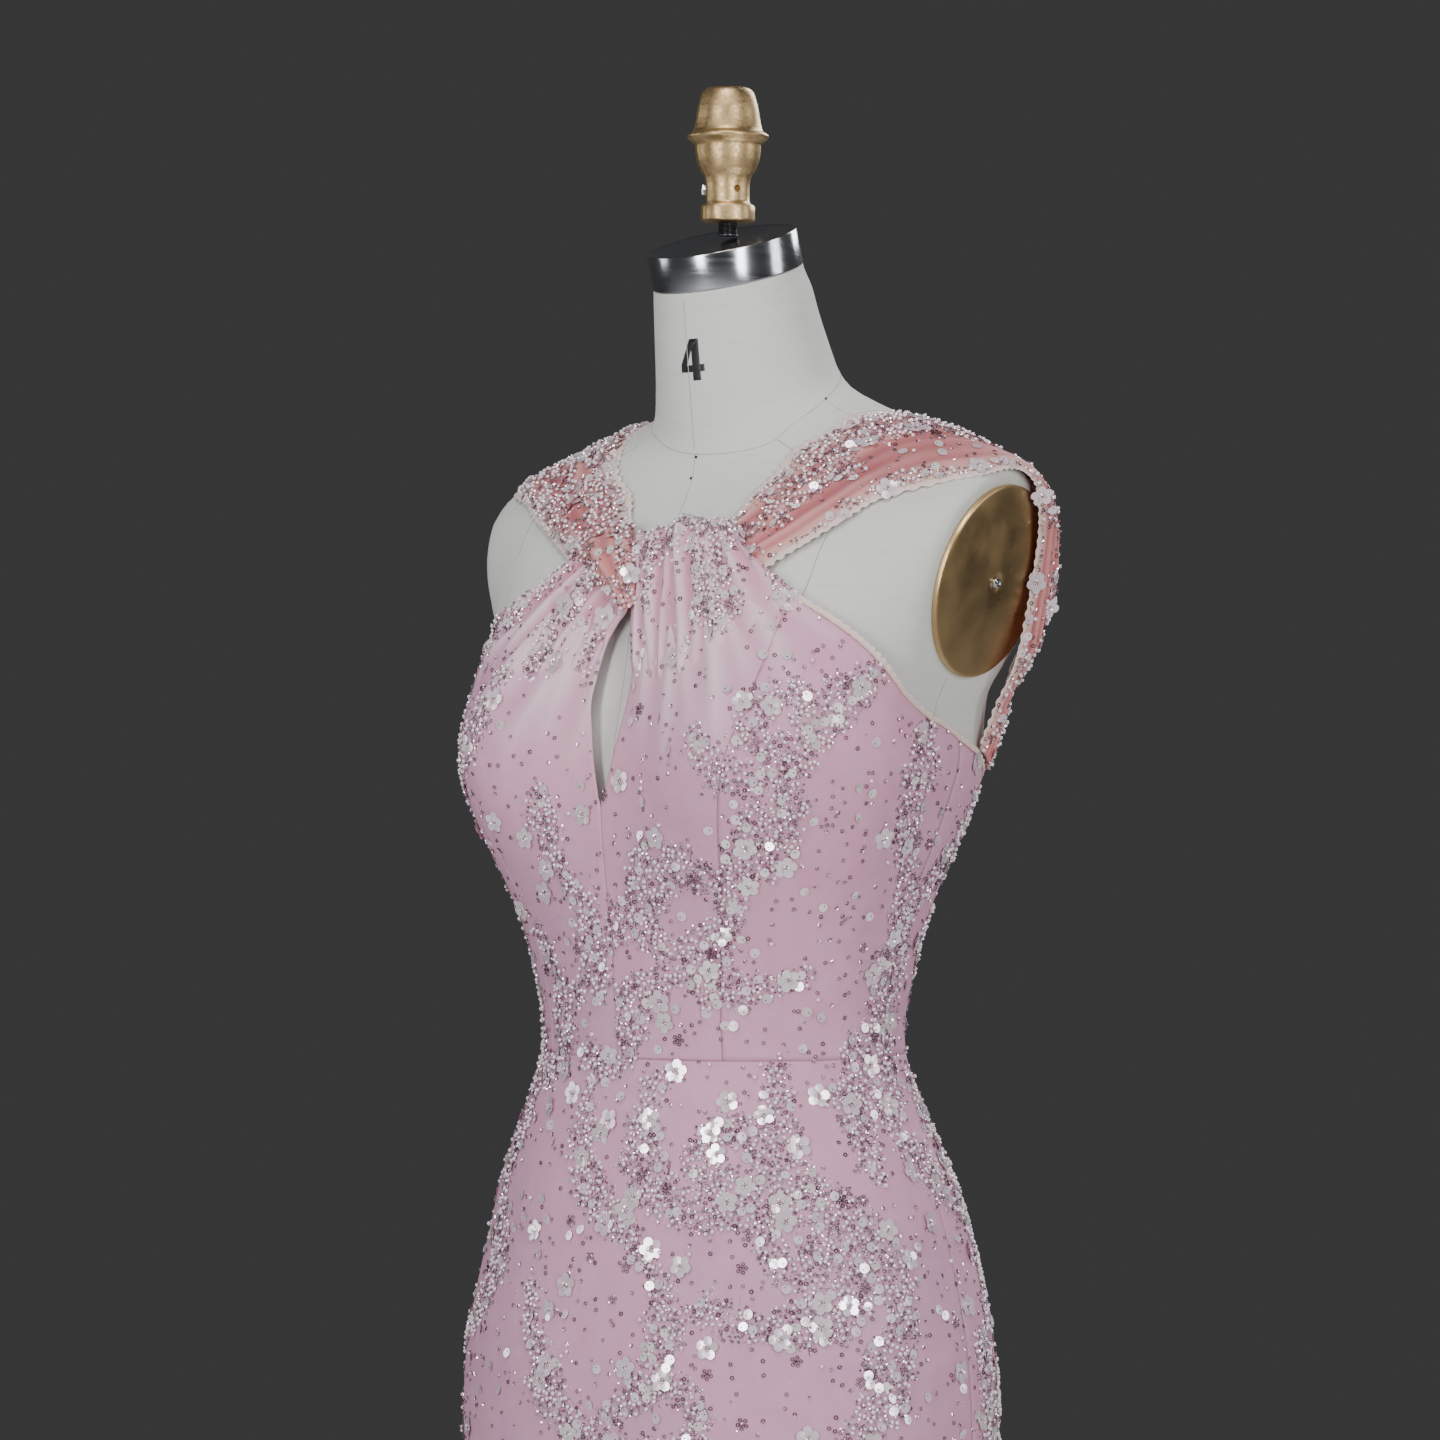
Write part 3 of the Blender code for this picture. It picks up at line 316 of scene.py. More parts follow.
# A scroll of beadwork is a band along a curve that starts at a place, sets off at a heading (0 to
# the wearer's left, 90 up) and turns as its pattern says, in (length, turn) steps, in mm and
# degrees.
VINE = ((85, 45), (80, -110), (70, 150))
HOOK = ((70, 15), (60, 95), (48, 150))
CURL = ((55, 50), (75, 150), (48, 160), (22, 110))
WAVE = ((95, -50), (110, 80), (95, -60))
SPRIG = ((60, -35), (55, 40))
Scroll = namedtuple("Scroll", "angle level heading hand pattern scale width")
SCROLLS = [
    Scroll(63, 1296, 222, 1, VINE, 1.05, 20),
    Scroll(24, 1262, 300, 1, CURL, 0.95, 17),
    Scroll(88, 1262, 252, -1, WAVE, 0.95, 21),
    Scroll(43, 1222, 262, -1, HOOK, 1.05, 18),
    Scroll(12, 1196, 265, 1, SPRIG, 0.9, 13),
    Scroll(60, 1120, 205, -1, VINE, 0.8, 16),
    Scroll(-22, 1300, 250, -1, HOOK, 0.9, 15),
    Scroll(-46, 1292, 280, 1, WAVE, 0.9, 17),
    Scroll(-12, 1226, 255, 1, VINE, 0.85, 15),
    Scroll(-62, 1240, 262, -1, VINE, 0.95, 18),
    Scroll(-88, 1250, 272, 1, WAVE, 0.85, 18),
    Scroll(-30, 1140, 290, -1, HOOK, 0.8, 15),
    Scroll(118, 1226, 262, 1, WAVE, 0.75, 17),
    Scroll(150, 1190, 258, -1, HOOK, 0.8, 15),
    Scroll(-120, 1228, 275, -1, WAVE, 0.75, 17),
    Scroll(-150, 1190, 280, 1, HOOK, 0.8, 15),
    Scroll(16, 1060, 240, 1, CURL, 1.1, 19),
    Scroll(52, 1062, 262, -1, WAVE, 1.05, 19),
    Scroll(86, 1050, 285, 1, VINE, 1.05, 18),
    Scroll(28, 930, 330, 1, CURL, 1.3, 22),
    Scroll(-8, 1058, 262, -1, WAVE, 1.0, 15),
    Scroll(-38, 1048, 250, 1, VINE, 1.05, 16),
    Scroll(-66, 1056, 275, -1, HOOK, 1.15, 17),
    Scroll(-92, 1030, 262, 1, WAVE, 1.05, 17),
    Scroll(-16, 930, 285, 1, HOOK, 1.1, 18),
    Scroll(70, 905, 250, 1, HOOK, 1.1, 18),
    Scroll(-58, 900, 255, -1, CURL, 1.0, 17),
    Scroll(112, 1058, 268, -1, WAVE, 1.1, 18),
    Scroll(140, 1052, 285, 1, CURL, 1.1, 18),
    Scroll(168, 1056, 255, -1, VINE, 1.0, 17),
    Scroll(-168, 1040, 285, 1, VINE, 1.05, 17),
    Scroll(-140, 1058, 262, -1, CURL, 1.1, 18),
    Scroll(-116, 1050, 272, 1, WAVE, 1.1, 18),
    Scroll(104, 905, 280, 1, HOOK, 1.15, 18),
    Scroll(150, 900, 250, -1, VINE, 1.1, 18),
    Scroll(-158, 895, 285, 1, HOOK, 1.15, 18),
    Scroll(-112, 900, 255, -1, VINE, 1.1, 18),
]
# Below the hips the scrolls stand in tiers, fewer to the width of cloth in each.
Tier = namedtuple("Tier", "level count scale width turned")
TIERS = [
    Tier(815, 8, 1.15, 17, 12),
    Tier(700, 7, 1.2, 16, 34),
    Tier(585, 6, 1.2, 15, 5),
    Tier(470, 6, 1.15, 14, 38),
    Tier(355, 6, 1.1, 13, 14),
    Tier(240, 7, 1.0, 12, 44),
    Tier(130, 7, 0.85, 11, 20),
]

# ---------------------------------------------------------------- the figure's surface


FLAT = np.array([1, 1, 0])


def wrapped(degrees):
    """An angle in degrees from -180 to 180."""
    return (degrees + 180) % 360 - 180


def unit(vectors):
    return vectors / np.maximum(np.linalg.norm(vectors, axis=-1, keepdims=True), 1e-12)


def smoothstep(value, low, high):
    ratio = np.clip((value - low) / (high - low), 0.0, 1.0)
    return ratio * ratio * (3 - 2 * ratio)


def catmull(rows, place):
    """Reads a table of rows at fractional row numbers, along a smooth curve through the rows."""
    rows = np.asarray(rows, float)
    last = len(rows) - 1
    place = np.clip(np.asarray(place, float), 0, last)
    index = np.minimum(place.astype(int), last - 1)
    step = (place - index)[..., None]
    before, start, end, after = (rows[np.clip(index + shift, 0, last)] for shift in (-1, 0, 1, 2))
    return 0.5 * (
        2 * start
        + (end - before) * step
        + (2 * before - 5 * start + 4 * end - after) * step**2
        + (3 * start - before - 3 * end + after) * step**3
    )


def bust_swelling(points, forward, spread):
    x, y, z = points
    height = np.where(z > BUST["level"], BUST_SPREAD["above"], BUST_SPREAD["below"])
    for side in (-1, 1):
        across = ((x - side * BUST["side"]) / spread) ** 2
        swell = np.exp(-across - ((z - BUST["level"]) / height) ** 2)
        swell = swell * smoothstep(forward, 0, BUST_FRONT_FADE)
        x = x + side * BUST["outward"] * swell
        y = y - BUST["forward"] * swell
    return x, y, z


def flatten_arm_lands(points, grow):
    """Cuts each shoulder back to the plane of its arm plate, and fills the land up to it."""
    for side in (-1, 1):
        flip = np.array([side, 1, 1])
        normal, centre = np.array(PLATE_NORMAL) * flip, np.array(PLATE_CENTRE) * flip
        height = (points - centre) @ normal - grow
        near = smoothstep(points[..., 2], *LAND_FADE_BELOW)
        near = near * (1 - smoothstep(points[..., 2], *LAND_FADE_ABOVE))
        near = near * (points[..., 0] * side > 0) * (height > -LAND_CUT_REACH)
        cut = 0.5 * (height + np.sqrt(height**2 + LAND_EDGE**2)) * near
        points = points - normal * cut[..., None]
        offset = points - centre
        height = offset @ normal - grow
        radius = np.linalg.norm(offset - normal * (offset @ normal)[..., None], axis=-1)
        fill = 1 - smoothstep(radius, LAND_RADIUS, LAND_RADIUS + LAND_FADE)
        fill = fill * (points[..., 0] * side > 0) * smoothstep(height, *LAND_FILL_FADE)
        points = points - normal * (height * fill)[..., None]
    return points


def figure(angle, level, grow=0.0, spread="gown"):
    """Points of the figure, grown outwards, at angles in radians and levels in metres."""
    angle, level = np.broadcast_arrays(np.asarray(angle, float), np.asarray(level, float))
    place = np.interp(level / MM, [row.level for row in FIGURE], np.arange(len(FIGURE)))
    rows = np.moveaxis(catmull(FIGURE, place), -1, 0)
    _, middle, width, front, back, round_front, round_back, tilt = rows
    sine, forward = np.sin(angle), np.cos(angle)
    power = 2 / np.where(forward > 0, round_front, round_back)
    depth = np.where(forward > 0, front, back) * MM + grow
    x = (width * MM + grow) * np.sign(sine) * np.abs(sine) ** power
    y = middle * MM - depth * np.sign(forward) * np.abs(forward) ** power
    z = level + tilt * (y - middle * MM)
    points = np.stack(bust_swelling((x, y, z), forward, BUST_SPREAD[spread]), -1)
    return flatten_arm_lands(points, grow)


def hem_folds(angle, level):
    """How far the trumpet's folds push the cloth in or out."""
    degrees = np.degrees(angle) % 360
    total = np.zeros(np.broadcast(angle, level).shape)
    for fold in HEM_FOLDS:
        away = wrapped(degrees - fold.angle)
        ridge = np.where(np.abs(away) < fold.half_width, np.cos(np.pi * away / fold.half_width), -1)
        total = total + fold.depth * MM * (ridge + 1) / 2
    deepening = ((FOLD_TOP - np.minimum(level, FOLD_TOP)) / (FOLD_TOP - HEM)) ** FOLD_GROWTH
    return (total - FOLD_MEAN) * deepening


def fold_relief(folds, angle, level):
    """Relief of soft folds at angles in radians and levels in metres: how high, and how creased."""
    degrees = wrapped(np.degrees(angle))
    relief = np.zeros(np.broadcast(angle, level).shape)
    for fold in folds:
        start = np.array([fold.angle * MM_PER_DEGREE, fold.level])
        run = np.array([fold.to_angle * MM_PER_DEGREE, fold.to_level]) - start
        length = np.linalg.norm(run)
        along_way = run / length
        x, y = degrees * MM_PER_DEGREE - start[0], level / MM - start[1]
        if fold.to_angle > 180:
            x = np.where(x < -180 * MM_PER_DEGREE, x + 360 * MM_PER_DEGREE, x)
        along = (x * along_way[0] + y * along_way[1]) / length
        aside = y * along_way[0] - x * along_way[1] - fold.bow * 4 * along * (1 - along)
        width = fold.half_width * (FOLD_NARROW + FOLD_WIDENING * np.clip(along, 0, 1))
        fade = smoothstep(along, *FOLD_RISE) * (1 - smoothstep(along, *FOLD_FALL))
        ridge = RIDGE_ROUND * np.exp(-((aside / width) ** 2))
        ridge = ridge + RIDGE_SHARP * np.exp(-np.abs(aside / width) * RIDGE_STEEPNESS)
        relief = relief + fold.height * fade * ridge
    return relief


def cloth_relief(angle, level):
    """The gown's fine folds, in metres, and a share from valley 0 to crest 1 for a painted
    highlight.
    """
    gathered = fold_relief(GATHERS, angle, level)
    soft = fold_relief(CREASES, angle, level) + fold_relief(DARTS, angle, level)
    return (gathered + soft) * MM, np.clip(gathered / FULL_HIGHLIGHT_HEIGHT, 0, 1)


def gown_base(angle, level):
    points = figure(angle, level, EASE)
    radial = unit(points * FLAT)
    return points + radial * hem_folds(angle, level)[..., None]


def steepest(surface, angle, level):
    """Outward unit normals of a surface given as a function of angle and level."""
    turn = SLOPE_STEP / MIDDLE_RADIUS
    across = surface(angle + turn, level) - surface(angle - turn, level)
    upwards = surface(angle, level + SLOPE_STEP) - surface(angle, level - SLOPE_STEP)
    normal = unit(np.cross(across, upwards))
    away = (surface(angle, level) * FLAT * normal).sum(-1)
    return normal * np.where(away < 0, -1, 1)[..., None]


def gown_face(angle, level, lift=0.0):
    """The outer face of the gown's cloth, with its fine folds."""
    relief, _ = cloth_relief(angle, level)
    return gown_base(angle, level) + steepest(gown_base, angle, level) * (
        CLOTH + relief + lift
    )[..., None]


# ---------------------------------------------------------------- meshes

CLOTH_SHARP = math.radians(50)
METAL_SHARP = math.radians(38)


def grid_object(name, points, finish, closed=False, capped=False, marks=None, flip=False):
    """A mesh of quads over a grid of points; closed joins the last column to the first. marks are
    point attributes with a value for each point of the grid."""
    rows, columns = points.shape[:2]
    after = np.roll(np.arange(columns), -1) if closed else np.arange(1, columns)
    here = np.arange(columns if closed else columns - 1)
    base = np.arange(rows - 1)[:, None] * columns
    corners = [base + here, base + after, base + columns + after, base + columns + here]
    faces = np.stack(corners, -1).reshape(-1, 4)
    faces = [tuple(face) for face in (faces[:, ::-1] if flip else faces).tolist()]
    if capped:
        first, last = list(range(columns)), list(range((rows - 1) * columns, rows * columns))
        faces += [tuple(first if flip else first[::-1]), tuple(last[::-1] if flip else last)]
    mesh = bpy.data.meshes.new(name)
    mesh.from_pydata(points.reshape(-1, 3).tolist(), [], faces)
    for mark, values in (marks or {}).items():
        layer = mesh.attributes.new(mark, "FLOAT", "POINT")
        layer.data.foreach_set("value", np.ascontiguousarray(values, np.float32).ravel())
    return add_object(name, mesh, finish)


def linked(name, data):
    """A new object in the scene."""
    obj = bpy.data.objects.new(name, data)
    bpy.context.scene.collection.objects.link(obj)
    return obj


def add_object(name, mesh, finish):
    mesh.shade_smooth()
    mesh.set_sharp_from_angle(angle=CLOTH_SHARP)
    mesh.materials.append(finish)
    return linked(name, mesh)


def evaluated_mesh(obj):
    """A plain mesh of an object as its modifiers leave it."""
    bpy.context.view_layer.update()
    graph = bpy.context.evaluated_depsgraph_get()
    return bpy.data.meshes.new_from_object(obj.evaluated_get(graph))


def set_at(spot, way):
    """The matrix that moves to a spot and points +Z along a direction."""
    return Matrix.Translation(spot) @ way.to_track_quat("Z", "Y").to_matrix().to_4x4()


def search_tree(points):
    tree = kdtree.KDTree(len(points))
    for index, point in enumerate(points):
        tree.insert(point, index)
    tree.balance()
    return tree


@contextmanager
def edited(mesh):
    """A mesh opened for editing, and written back."""
    shell = bmesh.new()
    shell.from_mesh(mesh)
    yield shell
    shell.to_mesh(mesh)
    shell.free()


def outward(obj):
    """Turns a closed mesh's faces out."""
    with edited(obj.data) as shell:
        bmesh.ops.recalc_face_normals(shell, faces=shell.faces)
    return obj


def walled(obj, wall=CLOTH):
    """Gives a sheet of cloth its thickness, on its inner side."""
    solidify = obj.modifiers.new("Cloth wall", "SOLIDIFY")
    solidify.thickness = wall
    solidify.offset = -1.0
    solidify.use_even_offset = False
    return obj


def turned(name, profile, finish, place=None, *, steps, shape=None):
    """A turned solid from a (radius, height) profile in millimetres, top to foot. shape may change
    its points, given as an array of rows by steps."""
    radius, height = np.array(profile, float).T[:, :, None]
    turn = np.linspace(0, 2 * np.pi, steps, endpoint=False)
    points = np.stack([radius * np.cos(turn), radius * np.sin(turn), height + 0 * turn], -1)
    if shape is not None:
        points = shape(points)
    points = points * MM
    obj = grid_object(name, points[1:-1], finish, closed=True)
    with edited(obj.data) as shell:
        around = list(shell.verts)
        for edge, pole in ((around[:steps], points[0, 0]), (around[-steps:], points[-1, 0])):
            middle = shell.verts.new(pole)
            for index in range(steps):
                shell.faces.new((edge[index], edge[(index + 1) % steps], middle))
        bmesh.ops.recalc_face_normals(shell, faces=shell.faces)
        if place is not None:
            bmesh.ops.transform(shell, matrix=place, verts=shell.verts)
    obj.data.shade_smooth()
    obj.data.set_sharp_from_angle(angle=METAL_SHARP)
    return obj


def tube_mesh(name, paths, radius, finish, sides=5):
    """Thin round cords along paths of points, joined in one mesh."""
    rings, faces = [], []
    turn = np.linspace(0, 2 * np.pi, sides, endpoint=False)
    for path in paths:
        path = np.asarray(path, float)
        along = unit(np.gradient(path, axis=0))
        across = unit(np.cross(along, unit(path * FLAT + np.array([0, 0, 1e-4]))))
        out = np.cross(across, along)
        cosine, sine = np.cos(turn)[None, :, None], np.sin(turn)[None, :, None]
        ring = path[:, None] + radius * (across[:, None] * cosine + out[:, None] * sine)
        start = sum(len(part) for part in rings)
        rings.append(ring.reshape(-1, 3))
        for row in range(len(path) - 1):
            for side in range(sides):
                after = (side + 1) % sides
                low, high = start + row * sides, start + (row + 1) * sides
                faces.append((low + side, low + after, high + after, high + side))
        faces.append(tuple(start + side for side in range(sides))[::-1])
        faces.append(tuple(start + (len(path) - 1) * sides + side for side in range(sides)))
    mesh = bpy.data.meshes.new(name)
    mesh.from_pydata(np.concatenate(rings).tolist(), [], faces)
    return outward(add_object(name, mesh, finish))


# ---------------------------------------------------------------- finishes


def put(tree, socket, value):
    """Links another node's output to a socket, or sets the socket's own value."""
    if isinstance(value, bpy.types.NodeSocket):
        tree.links.new(value, socket)
    else:
        socket.default_value = value


def new_node(tree, kind, settings):
    made = tree.nodes.new(kind)
    for setting, value in settings.items():
        setattr(made, setting, value)
    return made


class Finish:
    """A material built from nodes, with object coordinates to hand."""

    def __init__(self, name, roughness=0.5, metallic=0.0, **sockets):
        self.material = bpy.data.materials.new(name)
        self.material.use_nodes = True
        self.tree = self.material.node_tree
        self.shader = self.tree.nodes["Principled BSDF"]
        self.shader.inputs["Roughness"].default_value = roughness
        self.shader.inputs["Metallic"].default_value = metallic
        for socket, value in sockets.items():
            self.shader.inputs[socket.replace("_", " ")].default_value = value
        self.place = self.node("ShaderNodeTexCoord").outputs["Object"]

    def node(self, kind, inputs=None, **settings):
        made = new_node(self.tree, kind, settings)
        for socket, value in (inputs or {}).items():
            put(self.tree, made.inputs[socket], value)
        return made

    def stretched(self, scale):
        return self.node("ShaderNodeMapping", {"Vector": self.place, "Scale": scale}).outputs[0]

    def noise(self, scale, detail=3.0, where=None):
        inputs = {"Vector": where or self.place, "Scale": scale, "Detail": detail}
        return self.node("ShaderNodeTexNoise", inputs).outputs["Fac"]

    def wave(self, scale, direction, distortion):
        inputs = {"Vector": self.place, "Scale": scale, "Distortion": distortion}
        return self.node("ShaderNodeTexWave", inputs, bands_direction=direction).outputs["Fac"]

    def cells(self, scale, feature="F1"):
        inputs = {"Vector": self.place, "Scale": scale}
        return self.node("ShaderNodeTexVoronoi", inputs, feature=feature).outputs["Distance"]

    def mark(self, name):
        return self.node("ShaderNodeAttribute", attribute_name=name).outputs["Fac"]

    def ramp(self, value, low, high, to_low=0.0, to_high=1.0):
        inputs = {0: value, 1: low, 2: high, 3: to_low, 4: to_high}
        return self.node("ShaderNodeMapRange", inputs).outputs[0]

    def product(self, first, second, operation="MULTIPLY"):
        return self.node("ShaderNodeMath", {0: first, 1: second}, operation=operation).outputs[0]

    def mix(self, share, first, second):
        first, second = (
            (*colour, 1.0) if isinstance(colour, tuple) else colour for colour in (first, second)
        )
        inputs = {0: share, 6: first, 7: second}
        return self.node("ShaderNodeMix", inputs, data_type="RGBA").outputs[2]

    def feed(self, socket, value):
        self.tree.links.new(value, self.shader.inputs[socket])

    def bump(self, heights):
        """Bump from (height, strength, distance) rows, each over the one before."""
        normal = None
        for height, strength, distance in heights:
            inputs = {"Height": height, "Strength": strength, "Distance": distance}
            if normal is not None:
                inputs["Normal"] = normal
            normal = self.node("ShaderNodeBump", inputs).outputs[0]
        self.feed("Normal", normal)


def tulle(name, ground, shadow, crest, blush):
    """Sheer net over a lining: paler on its folds' crests (painted highlight), deeper and warmer by
    the knot, and sown with the smallest seed beads where the mark says that the cloth is beaded."""
    made = Finish(name, 0.6, Sheen_Weight=0.05, Sheen_Roughness=0.4, Specular_IOR_Level=0.2)
    made.shader.inputs["Sheen Tint"].default_value = (0.90, 0.84, 1.0, 1.0)
    clouds = made.ramp(made.noise(6.0, 2.0), 0.36, 0.64)
    fine = made.ramp(made.noise(60.0, 4.0), 0.3, 0.7)
    base = made.mix(clouds, ground, shadow)
    base = made.mix(made.product(fine, 0.14), base, crest)
    base = made.mix(made.product(made.mark("blush"), 0.85), base, blush)
    # Painted highlight: where the crest mark is high, on the crests of folds and pleats, the colour
    # is mixed towards the pale crest colour; on the net edging the same mark makes the outer part
    # paler.
    base = made.mix(made.product(made.mark("crest"), 0.85), base, crest)
    inputs = {"Vector": made.place, "Scale": 420.0, "Randomness": 0.85}
    spots = made.node("ShaderNodeTexVoronoi", inputs)
    near = made.ramp(spots.outputs["Distance"], 0.20, 0.44, 1.0, 0.0)
    sown = made.ramp(made.product(made.mark("beaded"), made.noise(90.0, 1.0), "ADD"), 0.72, 0.95)
    beads = made.product(near, sown)
    split = made.node("ShaderNodeSeparateColor", {"Color": spots.outputs["Color"]}).outputs
    tone = made.mix(made.ramp(split["Red"], 0.45, 0.62), (0.90, 0.80, 0.86), (0.34, 0.22, 0.28))
    made.feed("Base Color", made.mix(made.ramp(beads, 0.10, 0.40), base, tone))
    made.feed("Metallic", made.ramp(beads, 0.3, 0.6, 0.0, 0.55))
    net = made.cells(900.0, "DISTANCE_TO_EDGE")
    dull = made.ramp(made.noise(25.0), 0.3, 0.7, 0.52, 0.70)
    made.feed("Roughness", made.product(dull, made.ramp(beads, 0.2, 0.5, 1.0, 0.30)))
    crinkle = made.noise(160.0, 4.0, made.stretched((1.0, 1.0, 0.35)))
    made.bump([(crinkle, 0.35, 0.0004), (net, 0.12, 0.00012), (beads, 0.8, 0.0012)])
    return made.material


def linen(name):
    made = Finish(name, 0.85, Sheen_Weight=0.12, Sheen_Roughness=0.5)
    warp = made.wave(420.0, "X", 1.2)
    weft = made.wave(430.0, "Z", 1.2)
    threads = made.product(warp, weft, "MAXIMUM")
    slubs = made.ramp(made.noise(240.0, 2.0, made.stretched((0.25, 0.25, 1.0))), 0.55, 0.72)
    handled = made.ramp(made.noise(9.0, 4.0), 0.42, 0.72)
    base = made.mix(made.product(handled, 0.5), (0.66, 0.665, 0.63), (0.60, 0.59, 0.55))
    base = made.mix(made.product(slubs, 0.22), base, (0.50, 0.50, 0.47))
    specks = made.ramp(made.cells(150.0), 0.03, 0.055, 1.0, 0.0)
    sparse = made.ramp(made.noise(35.0, 0.0), 0.60, 0.64)
    base = made.mix(made.product(made.product(specks, sparse), 0.45), base, (0.25, 0.24, 0.22))
    made.feed("Base Color", base)
    made.bump([(slubs, 0.15, 0.0002), (threads, 0.35, 0.00015)])
    return made.material


def metal(name, colour, dark, roughness, grain, strength, distance, wear=0.4, **sockets):
    """Metal with a grain of its own, given as (scale, stretch), and a duller second colour."""
    made = Finish(name, roughness, 1.0, **sockets)
    scale, stretch = grain
    lines = made.noise(scale, 4.0, made.stretched(stretch))
    patches = made.ramp(made.noise(28.0, 5.0), 0.38, 0.68)
    base = made.mix(made.product(patches, wear), colour, dark)
    base = made.mix(made.product(made.ramp(lines, 0.35, 0.7), 0.3), base, dark)
    made.feed("Base Color", base)
    made.feed("Roughness", made.ramp(lines, 0.3, 0.7, roughness * 0.8, roughness * 1.3))
    made.bump([(lines, strength, distance)])
    return made.material


def bead_finish(name, colour, other, roughness, metallic=0.0, **sockets):
    """Each bead has its own tone between two colours, and its own polish."""
    made = Finish(name, roughness, metallic, **sockets)
    tone = made.mark("tone")
    base = made.mix(tone, colour, other)
    cloud = made.ramp(made.noise(700.0, 2.0), 0.35, 0.65)
    made.feed("Base Color", made.mix(made.product(cloud, 0.25), base, other))
    made.feed("Roughness", made.ramp(tone, 0.0, 1.0, roughness * 0.7, roughness * 1.5))
    return made.material


FINISHES = {
    "tulle": tulle(
        "Pink tulle over lining", (0.66, 0.325, 0.45), (0.58, 0.30, 0.44), (0.82, 0.62, 0.71),
        (0.68, 0.27, 0.33),
    ),
    "coral": tulle(
        "Gathered coral tulle", (0.57, 0.17, 0.17), (0.36, 0.092, 0.105), (0.72, 0.36, 0.345),
        (0.74, 0.50, 0.43),
    ),
    "net": tulle(
        "Net edging", (0.76, 0.56, 0.51), (0.68, 0.47, 0.47), (0.82, 0.72, 0.67),
        (0.80, 0.58, 0.49),
    ),
    "linen": linen("Linen form cover"),
    "seam": bead_finish("Seam thread", (0.40, 0.40, 0.39), (0.48, 0.48, 0.46), 0.8),
    "numeral": bead_finish("Black ink", (0.010, 0.010, 0.012), (0.018, 0.018, 0.02), 0.6),
    "pin": bead_finish("Pin heads", (0.06, 0.05, 0.045), (0.16, 0.13, 0.11), 0.35, 0.8),
    "steel": metal(
        "Brushed cap steel", (0.66, 0.69, 0.72), (0.34, 0.36, 0.39), 0.17,
        (900.0, (0.04, 0.04, 1.0)), 0.12, 0.0001, 0.25,
    ),
    "dark_steel": metal(
        "Dark steel", (0.12, 0.12, 0.13), (0.05, 0.05, 0.055), 0.38, (400.0, (1, 1, 0.1)), 0.1,
        0.0001,
    ),
    "bronze": metal(
        "Cast gilt bronze", (0.74, 0.53, 0.28), (0.24, 0.155, 0.065), 0.40, (620.0, (1, 1, 1)),
        0.26, 0.0006, 0.34,
    ),
    "brass": metal(
        "Satin lacquered brass", (0.66, 0.46, 0.23), (0.42, 0.28, 0.125), 0.33,
        (45.0, (1, 1, 1)), 0.03, 0.0001, 0.16,
    ),
    "iron": metal(
        "Black enamelled iron", (0.03, 0.03, 0.032), (0.018, 0.018, 0.02), 0.42,
        (300.0, (1, 1, 1)), 0.25, 0.0003, 0.4,
    ),
    "zip": bead_finish("Pink zip enamel", (0.55, 0.38, 0.45), (0.62, 0.46, 0.52), 0.35),
    "thread": bead_finish("Beading thread", (0.80, 0.66, 0.72), (0.86, 0.76, 0.80), 0.5),
    "pearl": bead_finish(
        "Pearl", (0.96, 0.90, 0.94), (0.84, 0.68, 0.76), 0.14, 0.05, Coat_Weight=1.0,
        Coat_Roughness=0.05,
    ),
    "ring": bead_finish("Ring sequins", (0.82, 0.68, 0.76), (0.17, 0.10, 0.135), 0.14, 0.88),
    "crystal": bead_finish(
        "Silver-lined beads", (1.0, 0.97, 1.0), (0.50, 0.36, 0.43), 0.10, 0.84, Coat_Weight=1.0,
        Coat_Roughness=0.03,
    ),
    "paillette": bead_finish(
        "Frosted paillettes", (1.0, 0.93, 0.97), (0.90, 0.73, 0.81), 0.16, 0.36, Coat_Weight=1.0,
        Coat_Roughness=0.04,
    ),
    "jet": bead_finish("Dark seed beads", (0.12, 0.08, 0.10), (0.22, 0.16, 0.19), 0.3, 0.5),
}


def dress(piece, slot, *nodes):
    """Puts a finished piece on its body and hides the solids it stands for; the slot is not used.
    """
    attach(piece, BODY)
    if nodes:
        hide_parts(*nodes)
    return piece


# ---------------------------------------------------------------- the gown's panels

BACK_FACING = -0.9
KNOT = Point(3, 1352)
BLUSH_REACH = 48

# What each piece was cut to, in metres, and its area in square metres.
Cut = namedtuple("Cut", "width length area")
# Columns and rows of a panel's grid.
FRONT_GRID, SIDE_GRID, BACK_GRID = (60, 84), (30, 44), (34, 26)
# The skirt's rows, as (from, to, count) spans, closest at the waist, and its columns by span.
WAIST_EDGE = WAIST - 12 * MM
SKIRT_ROWS = [(HEM, 0.56, 32), (0.56, 0.84, 22), (0.84, WAIST_EDGE, 38)]
SKIRT_TOP_ROWS = (WAIST_EDGE, WAIST - SEAM_PART, 12)
SKIRT_SPANS = {
    "skirt_front": (-SIDE_SEAM, SIDE_SEAM, 108),
    "skirt_back_left": (SIDE_SEAM, 180, 52),
    "skirt_back_right": (180, 360 - SIDE_SEAM, 52),
}
HEM_TURNING = 0.5 * MM
HEM_STITCH = (HEM + 18 * MM, HEM + 20 * MM)


def crowded(count, share=0.45):
    """Places from 0 to 1, closer together towards both ends."""
    even = np.linspace(0, 1, count)
    return (1 - share) * even + share * (1 - np.cos(np.pi * even)) / 2


def edge_curve(table, places):
    """(angle, level) in radians and metres at shares of the way along a curve through a table."""
    fine = catmull(table, np.linspace(0, len(table) - 1, 400))
    steps = np.linalg.norm(np.diff(fine * [MM_PER_DEGREE, 1], axis=0), axis=1)
    lengths = np.concatenate([[0], np.cumsum(steps)])
    wanted = np.asarray(places) * lengths[-1]
    angle, level = (np.interp(wanted, lengths, fine[:, column]) for column in (0, 1))
    return np.stack([np.radians(angle), level * MM], -1)


